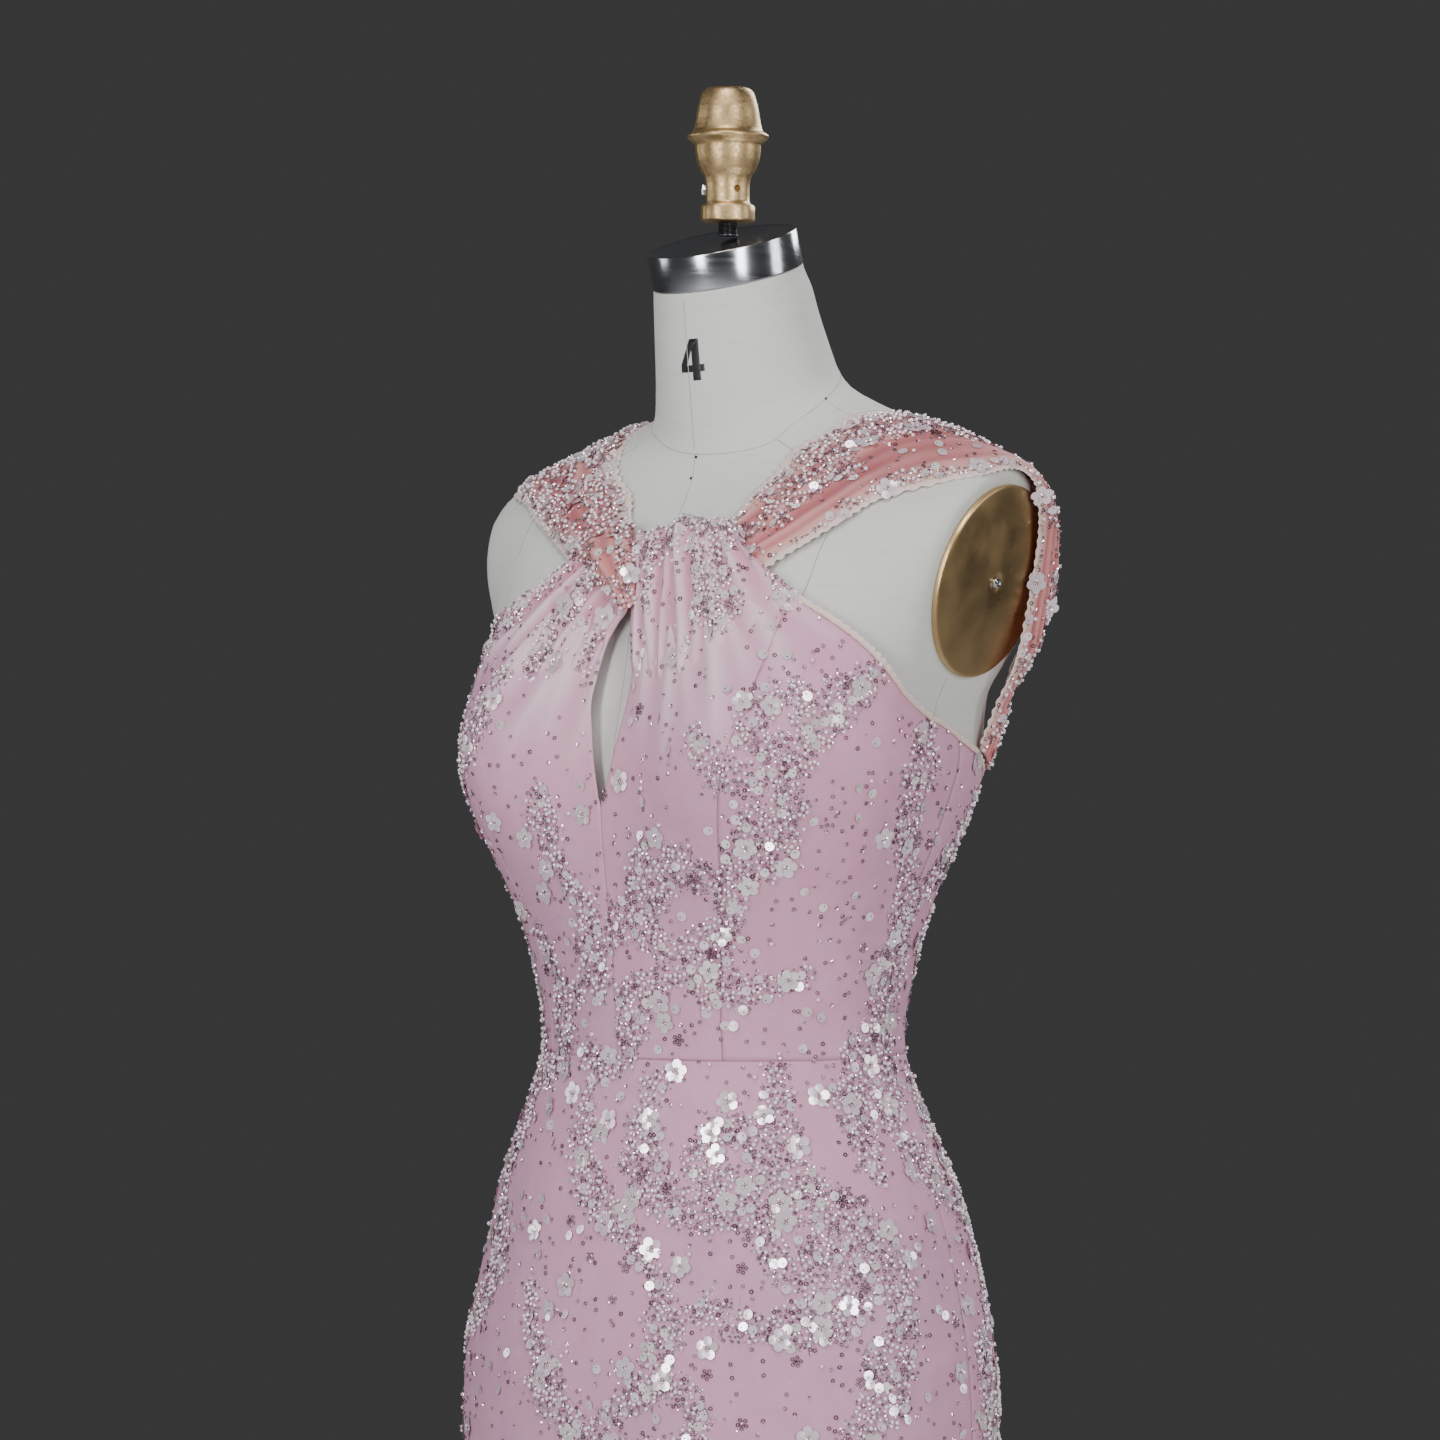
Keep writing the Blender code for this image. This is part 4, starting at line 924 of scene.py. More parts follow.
def mirrored(table):
    return [Point(-point.angle, point.level) for point in table]


def panel_grid(low_side, high_side, top, size):
    """(angle, level) over a panel between two seams, the waist and a shaped top."""
    across, upwards = crowded(size[0]), crowded(size[1])
    low, high = edge_curve(low_side, upwards), edge_curve(high_side, upwards)
    upper = edge_curve(top, across)
    across, upwards = across[None, :, None], upwards[:, None, None]
    bottom = (1 - across[0]) * low[0] + across[0] * high[0]
    sides = (1 - across) * low[:, None] + across * high[:, None]
    ends = (1 - upwards) * bottom[None] + upwards * upper[None]
    corners = (1 - upwards) * ((1 - across) * bottom[0] + across * bottom[-1])
    corners = corners + upwards * ((1 - across) * upper[0] + across * upper[-1])
    return sides + ends - corners


def from_edges(points):
    """How far each point of a grid is from its two sides, its foot and its top, along the grid."""
    along = np.linalg.norm(np.diff(points, axis=1), axis=-1)
    along = np.concatenate([np.zeros((len(points), 1)), np.cumsum(along, 1)], 1)
    up = np.linalg.norm(np.diff(points, axis=0), axis=-1)
    up = np.concatenate([np.zeros((1, points.shape[1])), np.cumsum(up, 0)], 0)
    return along, along[:, -1:] - along, up, up[-1:] - up


def seam_depth(angle, level):
    """Seams roll in, least over the zip's coil."""
    at_back = np.cos(angle) < BACK_FACING
    return np.where(at_back & (level > ZIP_END), ZIP_DIP, SEAM_DIP)


def seam_dip(distance, depth):
    return -depth * (1 - smoothstep(distance, 0, SEAM_ROLL))


def seam_lift(angle, level, sides):
    """A panel's lift where it rolls in at some of its sides, and its distances from all four."""
    distances = from_edges(gown_base(angle, level))
    depth = seam_depth(angle, level)
    return np.minimum.reduce([seam_dip(distances[side], depth) for side in sides]), distances


def knot_blush(angle, level):
    """1 at the knot, fading out over the gathers round it."""
    degrees = wrapped(np.degrees(angle))
    away = np.hypot((degrees - KNOT.angle) * MM_PER_DEGREE, level / MM - KNOT.level)
    return np.exp(-((away / BLUSH_REACH) ** 2))


def hang_panel(name, points, crest, blush):
    """One cut piece of the gown, from the points of its outer face."""
    keep_ground(name, points)
    marks = {"crest": crest, "blush": blush, "beaded": banded(points)}
    piece = walled(grid_object(name + "_cloth", points, FINISHES["tulle"], marks=marks))
    dress(piece, "beaded_tulle", name)


def make_bodice():
    front_left = CENTRE_FRONT[:-1] + KEYHOLE_LEFT
    front_right = CENTRE_FRONT[:-1] + KEYHOLE_RIGHT
    princess_right, side_right = mirrored(PRINCESS_RIGHT), mirrored(SIDE)
    armhole_right, back_edge_right = mirrored(ARMHOLE_RIGHT)[::-1], mirrored(BACK_EDGE)[::-1]
    tables = {
        "bodice_front_left": (front_left, PRINCESS, NECK_LEFT, FRONT_GRID),
        "bodice_front_right": (princess_right, front_right, NECK_RIGHT[::-1], FRONT_GRID),
        "bodice_side_left": (PRINCESS, SIDE, ARMHOLE, SIDE_GRID),
        "bodice_side_right": (side_right, princess_right, armhole_right, SIDE_GRID),
        "bodice_back_left": (SIDE, CENTRE_BACK, BACK_EDGE, BACK_GRID),
        "bodice_back_right": (mirrored(CENTRE_BACK), side_right, back_edge_right, BACK_GRID),
    }
    for name, table in tables.items():
        grid = panel_grid(*table)
        angle, level = grid[..., 0], grid[..., 1].copy()
        level[0] += SEAM_PART
        lift, distances = seam_lift(angle, level, (0, 1, 2))
        lift = np.minimum(lift, seam_dip(distances[3], TOP_DIP))
        points = gown_face(angle, level, lift)
        for side, inner in ((0, 1), (-1, -2)):
            points[:, side] += unit(points[:, inner] - points[:, side]) * SEAM_PART
        # The folds' crest share, which paints a highlight on their crests.
        _, crest = cloth_relief(angle, level)
        hang_panel(name, points, crest, knot_blush(angle, level))


def make_skirt():
    levels = [np.linspace(*span, endpoint=False) for span in SKIRT_ROWS]
    levels = np.concatenate(levels + [np.linspace(*SKIRT_TOP_ROWS)])
    for name, (low, high, columns) in SKIRT_SPANS.items():
        angles = np.radians(low + (high - low) * crowded(columns, 0.25))
        angle, level = np.broadcast_arrays(angles[None, :], levels[:, None])
        lift, _ = seam_lift(angle, level, (0, 1, 3))
        hem = HEM_TURNING * (1 - smoothstep(level, *HEM_STITCH))
        plain = np.zeros(level.shape)
        hang_panel(name, gown_face(angle, level, lift + hem), plain, plain)


# ---------------------------------------------------------------- straps and knot

STRAPS = {"strap_left": (STRAP_LEFT, 1), "strap_right": (STRAP_RIGHT, -1)}
STRAP_GRID = (132, 34)
STRAP_WIDTH = 40 * MM
STRAP_STEP = 0.004
# The strap lies flat over a share of its half width, and its edge rolls down over the rest.
STRAP_FLAT = 0.72
STRAP_ROLL = 0.28
NOISE_SWING = 1.6


def pleat_relief(pleats, along, across):
    relief = np.zeros(np.broadcast(along, across).shape)
    for pleat in pleats:
        place = pleat.place + pleat.wander * np.sin(5.0 * along + pleat.phase)
        height = pleat.height * (0.75 + 0.25 * np.sin(8.0 * along + 2 * pleat.phase))
        relief = relief + height * np.exp(-(((across - place) / pleat.half_width) ** 2))
    return relief


def strap_base(table, hand, along, across):
    """The strap's middle layer and its outward normals, at shares along and across it."""

    def layer(along, across, more=0.0):
        rows = np.moveaxis(catmull(table, along * (len(table) - 1)), -1, 0)
        inner_angle, inner_level, outer_angle, outer_level, lift = rows
        angle = np.radians(inner_angle * (1 - across) + outer_angle * across)
        level = MM * (inner_level * (1 - across) + outer_level * across)
        return figure(angle, level, EASE + CLOTH + MM * lift + more) * np.array([hand, 1, 1])

    along, across = np.broadcast_arrays(np.asarray(along, float), np.asarray(across, float))
    step = STRAP_STEP
    points = layer(along, across)
    run = layer(along + step, across) - layer(along - step, across)
    side = layer(along, across + 4 * step) - layer(along, across - 4 * step)
    normal = unit(np.cross(run, side))
    away = ((layer(along, across, 1 * MM) - points) * normal).sum(-1)
    return points, normal * np.where(away < 0, -1, 1)[..., None]


def strap_face(table, hand, along, across, lift=0.0):
    points, normal = strap_base(table, hand, along, across)
    relief = pleat_relief(STRAP_PLEATS, along, across) * MM
    edge = np.abs(np.asarray(across) * 2 - 1)
    edge = np.maximum(edge - STRAP_FLAT, 0) / STRAP_ROLL
    relief = relief - STRAP_EDGE_DROP * np.minimum(edge, 1.2) ** 2 + lift
    return points + normal * relief[..., None], normal


def uneven(points, scale, shift):
    """Soft noise from about -1 to 1 at each point of a grid."""
    away = Vector((shift, 0, 0))
    flat = [noise.noise(Vector(point) * scale + away) for point in points.reshape(-1, 3)]
    return np.array(flat).reshape(points.shape[:-1]) * NOISE_SWING


def strap_beading(name, points, along, across):
    """How thickly a strap is beaded: all over on the right one, in drifts on the left."""
    drift = uneven(points, 55, 3.0 if name == "strap_left" else 8.0)
    inner = 1 - smoothstep(across, 0.30, 0.62)
    edges = np.maximum(1 - smoothstep(across, 0.0, 0.16), smoothstep(across, 0.86, 1.0))
    if name == "strap_right":
        return np.clip(smoothstep(drift, -0.75, -0.25) * (0.55 + 0.45 * inner) + edges, 0, 1)
    share = smoothstep(drift + 0.75 * inner - 0.45 * (1 - inner), -0.05, 0.35)
    over = smoothstep(along, 0.30, 0.42)
    return np.clip(share * (0.75 + 0.25 * over) + edges * (0.55 + 0.35 * over), 0, 1)


def make_straps():
    along = np.linspace(0, 1, STRAP_GRID[0])[:, None]
    across = np.linspace(0, 1, STRAP_GRID[1])[None, :]
    for name, (table, hand) in STRAPS.items():
        points, normals = strap_face(table, hand, along, across)
        beaded = strap_beading(name, points, along, across)
        keep_ground(name, points, beaded, normals)
        relief = pleat_relief(STRAP_PLEATS, along, across)
        edge = np.abs(across * 2 - 1) + 0 * along
        # The crest mark paints a highlight on the pleats' crests; blush is the peach of the strap's
        # edges.
        marks = {"crest": np.clip(relief / 2.2, 0, 1), "blush": smoothstep(edge, 0.55, 1.0)}
        marks["beaded"] = 0.8 * beaded
        piece = grid_object(name + "_cloth", points, FINISHES["coral"], marks=marks, flip=hand < 0)
        dress(walled(piece, 0.9 * MM), "coral_tulle", name)


LEFT_PLEATS = [
    Pleat(0.06, 0.029, 3.0, 0.010, 0.2),
    Pleat(0.19, 0.034, 4.1, 0.022, 2.1),
    Pleat(0.31, 0.025, 3.0, 0.026, 3.9),
    Pleat(0.43, 0.036, 4.6, 0.030, 0.9),
    Pleat(0.56, 0.027, 3.4, 0.026, 5.0),
    Pleat(0.68, 0.034, 4.1, 0.024, 2.7),
    Pleat(0.81, 0.029, 3.0, 0.018, 1.4),
    Pleat(0.93, 0.025, 2.4, 0.012, 4.2),
]
RIGHT_PLEATS = [
    Pleat(0.05, 0.031, 2.7, 0.012, 1.2),
    Pleat(0.20, 0.037, 4.1, 0.024, 3.3),
    Pleat(0.36, 0.031, 3.2, 0.026, 0.4),
    Pleat(0.51, 0.039, 4.3, 0.028, 4.6),
    Pleat(0.67, 0.031, 3.2, 0.024, 2.4),
    Pleat(0.84, 0.036, 3.2, 0.016, 5.6),
]
END_PLEATS = [
    Pleat(0.10, 0.075, 2.0, 0.030, 0.7),
    Pleat(0.36, 0.085, 2.8, 0.050, 2.9),
    Pleat(0.62, 0.075, 2.4, 0.050, 4.4),
    Pleat(0.88, 0.075, 2.2, 0.030, 1.8),
]


def drape_face(rows, pleats, size, flat_end):
    """A grid of points over a drape's rows, its outward normals and how high its pleats stand."""
    across, upwards = np.linspace(0, 1, size[0]), np.linspace(0, 1, size[1])
    table = np.array(rows, float)
    columns = table.shape[1]
    up = catmull(table.reshape(len(table), -1), upwards * (len(table) - 1))
    fine = np.stack([catmull(row.reshape(columns, 3), across * (columns - 1)) for row in up])
    angle, level, lift = np.radians(fine[..., 0]), fine[..., 1] * MM, fine[..., 2] * MM
    across, upwards = np.broadcast_arrays(across[None, :], upwards[:, None])
    pleated = smoothstep(upwards, 0.02, flat_end) if flat_end else 1.0
    relief = pleat_relief(pleats, upwards, across) * pleated
    outwards = steepest(gown_base, angle, level)
    middle = gown_base(angle, level) + outwards * (CLOTH + lift)[..., None]
    normals = unit(np.cross(np.gradient(middle, axis=1), np.gradient(middle, axis=0)))
    behind = (normals * outwards).sum(-1) < 0
    if behind[: len(behind) // 2].mean() > 0.5:
        normals = -normals
    points = middle + normals * (relief * MM)[..., None]
    # The last share paints a highlight on the pleats' crests.
    return points, normals, np.clip(relief / 2.6, 0, 1)


def drape_piece(name, rows, pleats, size, beading, finish, blush, flat_end=0.12):
    points, normals, crest = drape_face(rows, pleats, size, flat_end)
    across, upwards = np.linspace(0, 1, size[0])[None, :], np.linspace(0, 1, size[1])[:, None]
    amount = np.clip(beading(across, upwards, uneven(points, 80, 5.0)), 0, 1)
    keep_ground(name, points, amount, normals)
    # The crest mark paints a highlight on the pleats' crests.
    marks = {"crest": crest, "blush": blush(across, upwards), "beaded": amount}
    way = np.cross(points[0, 1] - points[0, 0], points[1, 0] - points[0, 0]) @ normals[0, 0]
    return grid_object(name, points, finish, marks=marks, flip=way < 0)


def joined(name, pieces):
    """Several meshes made one, each keeping its own finish."""
    with bpy.context.temp_override(
        active_object=pieces[0], object=pieces[0], selected_editable_objects=pieces
    ):
        bpy.ops.object.join()
    pieces[0].name = name
    return pieces[0]


# How thickly each drape is beaded, at shares across and up it, with soft noise for the drifts.
def beaded_line(across, middle, width):
    return np.exp(-(((across - middle) / width) ** 2))


def left_beading(across, upwards, drift):
    fold = smoothstep(upwards, 0.50, 0.66) * (0.75 + 0.5 * drift)
    band = beaded_line(across + 0.10 * upwards, 0.70, 0.13) * smoothstep(upwards, 0.10, 0.2)
    band = smoothstep(band + 0.35 * drift, 0.35, 0.6)
    edge = smoothstep(across, 0.90, 0.96) * smoothstep(drift, -0.4, 0.1)
    inner = beaded_line(across, 0.16, 0.07) * smoothstep(upwards, 0.2, 0.4)
    inner = smoothstep(inner + 0.3 * drift, 0.5, 0.8)
    return np.maximum.reduce([fold, band, 0.8 * edge, 0.7 * inner])


def right_beading(across, upwards, drift):
    edge = smoothstep(across, 0.70, 0.82) * smoothstep(drift, -0.6, 0.0)
    band = beaded_line(across, 0.48, 0.09) * (1 - smoothstep(upwards, 0.72, 0.9))
    band = smoothstep(band + 0.35 * drift, 0.4, 0.65)
    inner = beaded_line(across, 0.12, 0.07) * (1 - smoothstep(upwards, 0.3, 0.5))
    inner = smoothstep(inner + 0.3 * drift, 0.45, 0.7)
    return np.maximum.reduce([edge, band, 0.8 * inner])


def end_beading(across, upwards, drift):
    sides = np.maximum(1 - smoothstep(across, 0.10, 0.32), smoothstep(across, 0.62, 0.82))
    return np.clip(sides * (0.9 + 0.5 * drift) + smoothstep(upwards, 0.62, 0.8) * 0.9, 0.04, 1)


# How warm the cloth's colour is over each drape.
def right_blush(across, upwards):
    return 0.25 + 0.75 * smoothstep(upwards, 0.15, 0.75) + 0 * across


def left_blush(across, upwards):
    return 0.65 * right_blush(across, upwards)


def end_blush(across, upwards):
    return 0.1 + 0 * across * upwards


def make_knots():
    tulle_finish, coral_finish = FINISHES["tulle"], FINISHES["coral"]
    left = drape_piece(
        "knot_left_drape", DRAPE_LEFT, LEFT_PLEATS, (84, 52), left_beading, tulle_finish,
        left_blush,
    )
    right = drape_piece(
        "knot_right_drape", DRAPE_RIGHT, RIGHT_PLEATS, (72, 46), right_beading, tulle_finish,
        right_blush,
    )
    end = drape_piece(
        "knot_strap_end", STRAP_END, END_PLEATS, (32, 36), end_beading, coral_finish, end_blush,
        flat_end=0,
    )
    for name, parts in {"knot_left": [left], "knot_right": [right, end]}.items():
        piece = joined(name + "_cloth", parts)
        dress(walled(piece, 0.8 * MM), "coral_tulle", name)


NET_STEP = 1.6 * MM
NET_WIDTH = 3.4 * MM
NET_WALL = 0.35 * MM
ARMHOLE_LENGTH = 0.19
STRAP_LENGTH = 0.44
# Its scallops and its ruffle, by the millimetre along it.
SCALLOPS, SMALL_SCALLOPS, RUFFLES = 0.36, 0.91, 0.83
RUFFLE = 0.45 * MM
# A strap's net stops short of where the strap goes under the bodice.
NET_SHARE = 0.985


def net_ribbon(name, edge_points, length, hand=1):
    """A scalloped net edge: edge_points(share, out, lift) gives points past the cloth's edge."""
    share = np.linspace(0, 1, int(length / NET_STEP))[:, None]
    out = np.linspace(-0.35, 1, 4)[None, :]
    run = share * length / MM
    scallop = 0.62 + 0.25 * np.abs(np.sin(run * SCALLOPS))
    scallop = scallop + 0.13 * np.sin(run * SMALL_SCALLOPS + 1)
    ruffle = RUFFLE * np.sin(run * RUFFLES) * np.clip(out, 0, 1)
    points = edge_points(share, out * scallop * NET_WIDTH, 0.25 * MM + ruffle)
    marks = {"crest": np.clip(out, 0, 1) + 0 * share, "blush": 0.5 + 0 * share * out}
    piece = grid_object(name, points, FINISHES["net"], marks=marks, flip=hand < 0)
    dress(walled(piece, NET_WALL), "coral_tulle")


def gown_edge(table):
    def edge(share, out, lift):
        curve = edge_curve(table, share[:, 0])
        angle, level = curve[:, 0][:, None], curve[:, 1][:, None] + out
        return gown_face(np.broadcast_to(angle, level.shape), level, lift)

    return edge


def strap_edge(table, hand, border, way):
    def edge(share, out, lift):
        across = border + way * out / STRAP_WIDTH
        return strap_face(table, hand, share * NET_SHARE, across, lift)[0]

    return edge


def make_net_edges():
    for word, left, right in (
        ("armhole", ARMHOLE, mirrored(ARMHOLE_RIGHT)),
        ("back", BACK_EDGE, mirrored(BACK_EDGE)),
    ):
        net_ribbon(f"net_edge_{word}_left", gown_edge(left), ARMHOLE_LENGTH, hand=-1)
        net_ribbon(f"net_edge_{word}_right", gown_edge(right), ARMHOLE_LENGTH)
    for name, (table, hand) in STRAPS.items():
        for word, border, way in (("inner", 0.0, -1), ("outer", 1.0, 1)):
            edge = strap_edge(table, hand, border, way)
            net_ribbon(f"net_edge_{name}_{word}", edge, STRAP_LENGTH, hand=hand * way)


# ---------------------------------------------------------------- the dress form

COVER_SHOWS = 1.24
COVER_ROWS = (22, 74)
COVER_COLUMNS = 88


def make_form_cover():
    """The padded form's cover, finer above the level where it shows, and at front and back."""
    hidden = np.linspace(FORM_FOOT, COVER_SHOWS, COVER_ROWS[0])[:-1]
    levels = np.concatenate([hidden, np.linspace(COVER_SHOWS, NECK_TOP, COVER_ROWS[1])])
    angles = np.linspace(0, 2 * np.pi, COVER_COLUMNS, endpoint=False)
    angles = angles + 0.18 * np.sin(2 * angles)
    points = figure(angles[None, :], levels[:, None], spread="form")
    obj = grid_object("form_cover", points, FINISHES["linen"], closed=True, capped=True)
    dress(outward(obj), "form_cover", "form_torso")


NECK_SEAM = line(
    (-90, 1461), (-60, 1461), (-33, 1460), (4, 1451), (34, 1450), (61, 1457), (90, 1461),
    (130, 1463), (180, 1464), (230, 1463), (270, 1461),
)


def make_form_seams():
    """The cover's seams, first those of the middle and the neck, then each side's four."""
    tables = [
        line((3, 1532), (3, 1490), (3.2, 1455)),
        line((3.2, 1449), (2, 1400), (0, 1340), (0, 1230)),
        line((180, 1532), (180, 1464), (180, 1380), (180, 1190)),
        NECK_SEAM,
    ]
    for side in (-1, 1):
        tables += [
            line((side * 45, 1452), (side * 38, 1425), (side * 36, 1393), (side * 37, 1300)),
            line((side * 92, 1292), (side * 91, 1266), (side * 91, 1240)),
            line((side * 89, 1460), (side * 89, 1436), (side * 88, 1418)),
            line((side * 140, 1462), (side * 143, 1400), (side * 145, 1300), (side * 147, 1200)),
        ]
    paths = []
    for table in tables:
        curve = edge_curve(table, np.linspace(0, 1, 64))
        paths.append(figure(curve[:, 0], curve[:, 1], 0.02 * MM, spread="form"))
    dress(tube_mesh("form_seams", paths, 0.30 * MM, FINISHES["seam"]), "form_cover")


NUMERAL_PLACE = Point(6.5, 1501.5)
NUMERAL = {"width": 16.8, "height": 21.0}
NECK_RADIUS = 52.0
NUMERAL_OUTER = [
    (0.50, 0.00), (0.82, 0.00), (0.82, 0.205), (1.00, 0.205), (1.00, 0.365), (0.82, 0.365),
    (0.82, 1.00), (0.44, 1.00), (0.00, 0.38), (0.00, 0.205), (0.50, 0.205),
]
NUMERAL_INNER = [(0.50, 0.365), (0.265, 0.365), (0.50, 0.74)]


def make_numeral():
    """The plain size number, printed on the front of the neck."""
    curve = bpy.data.curves.new("size_number", "CURVE")
    curve.dimensions = "2D"
    curve.fill_mode = "FRONT"
    for loop in (NUMERAL_OUTER, NUMERAL_INNER):
        spline = curve.splines.new("POLY")
        spline.points.add(len(loop) - 1)
        for target, (x, y) in zip(spline.points, loop):
            target.co = (x, y, 0, 1)
        spline.use_cyclic_u = True
    flat = linked("size_number", curve)
    mesh = evaluated_mesh(flat)
    bpy.data.objects.remove(flat)
    with edited(mesh) as shell:
        bmesh.ops.triangulate(shell, faces=shell.faces)
        bmesh.ops.subdivide_edges(shell, edges=shell.edges, cuts=3, use_grid_fill=True)
        x, y = np.array([vert.co[:2] for vert in shell.verts]).T
        angle = np.radians(NUMERAL_PLACE.angle) + (x - 0.5) * NUMERAL["width"] / NECK_RADIUS
        level = (NUMERAL_PLACE.level + (y - 0.5) * NUMERAL["height"]) * MM
        for vert, place in zip(shell.verts, figure(angle, level, 0.16 * MM, spread="form")):
            vert.co = place
        bmesh.ops.recalc_face_normals(shell, faces=shell.faces)
        if sum(face.normal.y for face in shell.faces) > 0:
            bmesh.ops.reverse_faces(shell, faces=shell.faces)
    mesh.materials.clear()
    dress(walled(add_object("size_number", mesh, FINISHES["numeral"]), 0.12 * MM), "form_cover")


PINS = line((4.0, 1449), (2.5, 1432), (89.5, 1461), (-88, 1461), (181, 1464))
PIN_HEAD = [(0, 0.95), (0.45, 0.9), (0.85, 0.6), (1.0, 0.2), (0.9, 0.02), (0, 0.02)]


def make_pins():
    for number, pin in enumerate(PINS):
        angle, level = np.radians(pin.angle), pin.level * MM
        spot, out = (Vector(figure(angle, level, grow, spread="form")) for grow in (0, 1 * MM))
        place = set_at(spot, out - spot)
        head = turned(f"pin_head_{number}", PIN_HEAD, FINISHES["pin"], place, steps=16)
        dress(head, "stem_steel")


def rounded(corners, radius=0.8, steps=4):
    """A profile of (radius, height) corners with each inner corner rounded off."""
    points = [np.array(corner, float) for corner in corners]
    made = [points[0]]
    for before, corner, after in zip(points[:-2], points[1:-1], points[2:]):
        sides = [0.45 * np.linalg.norm(other - corner) for other in (before, after)]
        reach = min(radius, *sides)
        start = corner + unit(before - corner) * reach
        end = corner + unit(after - corner) * reach
        for share in np.linspace(0, 1, steps):
            bent = (1 - share) ** 2 * start + 2 * share * (1 - share) * corner
            made.append(bent + share**2 * end)
    return [tuple(point) for point in made + [points[-1]]]


CAP_TILT = math.atan(FIGURE[-1].tilt)
CAP = [(0, 21.2), (8, 21.2), (43.6, 21.5), (44.4, 22.0), (46, 22.0), (46, 0.3), (0, 0.3)]
FINIAL_FOOT = 1569
FINIAL = [
    (0, 80.5), (12.5, 80.5), (15.0, 78.6), (16.6, 75.0), (18.4, 68.0), (19.2, 62.0), (20.6, 55.5),
    (21.8, 53.5), (24.4, 52.2), (24.6, 50.2), (22.4, 48.6), (20.0, 46.6), (19.8, 42.0),
    (19.0, 37.0), (17.2, 31.5), (14.0, 27.0), (13.0, 22.0), (12.9, 11.5), (14.5, 10.2),
    (16.3, 9.4), (16.3, 0.8), (15.6, 0.0), (0, 0.0),
]
FACING_HOLE = math.radians(65)
FACING_SCREW = math.radians(-50)
HOLE_LEVEL = FINIAL_FOOT + 19
BORE = [(0, 9), (2.1, 9), (2.1, -5), (0, -5)]
SET_SCREW = [(0, 3.6), (2.9, 3.6), (3.4, 2.9), (3.4, 0.4), (0, 0.4)]
# The casting: its uneven skin, its parting line and its hand-filed foot, in mm.
SKIN_SCALES = (0.16, 0.45)
SKIN_SWELL = 0.09
PARTING_TURN = -0.48
PARTING_SWELL = 0.55
PARTING_WIDTH = 0.8
FOOT_TOP = 12
FOOT_SWELL = 0.35

STEM_FOOT, STEM_TOP = 1560.4, 1568.7
STEM_RADIUS, THREAD_ROOT = 5.95, 5.4


def round_body(angle):
    """Outward direction at an angle round the body from the centre front."""
    return Vector((math.sin(angle), -math.cos(angle), 0))


def cast_skin(point):
    coarse, fine = (noise.noise(Vector(point) * scale) for scale in SKIN_SCALES)
    return coarse + 0.5 * fine


def cast_shape(points):
    """Casting marks: a parting line down two sides, and a hand-filed, uneven skin."""
    points = points.copy()
    angle = np.arctan2(points[..., 0], -points[..., 1])
    radius = np.hypot(points[..., 0], points[..., 1])
    skin = np.array([[cast_skin(point) for point in row] for row in points])
    swell = SKIN_SWELL * skin
    for parting in (PARTING_TURN, math.pi + PARTING_TURN):
        away = (angle - parting + np.pi) % (2 * np.pi) - np.pi
        swell = swell + PARTING_SWELL * np.exp(-((away * radius / PARTING_WIDTH) ** 2))
    low = smoothstep(FOOT_TOP - points[..., 2], 0, 3)
    swell = swell + low * FOOT_SWELL * np.sin(angle * 5 + 1) * (radius > 10)
    scale = 1 + swell / np.maximum(radius, 6) * (radius > 0.1)
    points[..., :2] *= scale[..., None]
    return points


def drilled(obj, cutter):
    """Cuts one mesh out of another and keeps the result as a plain mesh."""
    cut = obj.modifiers.new("Drilled", "BOOLEAN")
    cut.operation = "DIFFERENCE"
    cut.object = cutter
    mesh = evaluated_mesh(obj)
    obj.modifiers.clear()
    obj.data = mesh
    bpy.data.objects.remove(cutter)


def make_cap():
    place = Matrix.Translation((0, 0, NECK_TOP)) @ Matrix.Rotation(CAP_TILT, 4, "X")
    cap = turned("cap_of_brushed_steel", rounded(CAP, 0.7), FINISHES["steel"], place, steps=128)
    dress(cap, "cap_steel", "neck_cap")
    stem = [(0, STEM_TOP)]
    for thread in np.arange(1568.4, 1561.0, -1.0):
        stem += [(THREAD_ROOT, thread), (STEM_RADIUS, thread - 0.5)]
    stem += [(STEM_RADIUS, STEM_FOOT), (0, STEM_FOOT)]
    dress(turned("threaded_stem", stem, FINISHES["dark_steel"], steps=32), "stem_steel", "stem")


def make_finial():
    profile = rounded(FINIAL, 1.6, 4)
    places = np.linspace(0, len(profile) - 1, 80)
    columns = [np.interp(places, range(len(profile)), column) for column in np.array(profile).T]
    fine = [tuple(row) for row in np.stack(columns, -1)]
    fine = [(0, fine[0][1])] + fine[1:-1] + [(0, fine[-1][1])]
    lift = Matrix.Translation((0, 0, FINIAL_FOOT * MM))
    finial = turned("cast_finial", fine, FINISHES["bronze"], lift, steps=96, shape=cast_shape)
    level = Vector((0, 0, HOLE_LEVEL * MM))
    hole, out = round_body(FACING_HOLE), round_body(FACING_SCREW)
    start = set_at(hole * 11.5 * MM + level, hole)
    drilled(finial, turned("bore", BORE, FINISHES["dark_steel"], start, steps=24))
    finial.data.shade_smooth()
    finial.data.set_sharp_from_angle(angle=METAL_SHARP)
    dress(finial, "finial_bronze", "finial")
    start = set_at(out * 12.6 * MM + level, out)
    bolt = rounded(SET_SCREW, 0.3, 2)
    dress(turned("finial_set_screw", bolt, FINISHES["steel"], start, steps=6), "stem_steel")


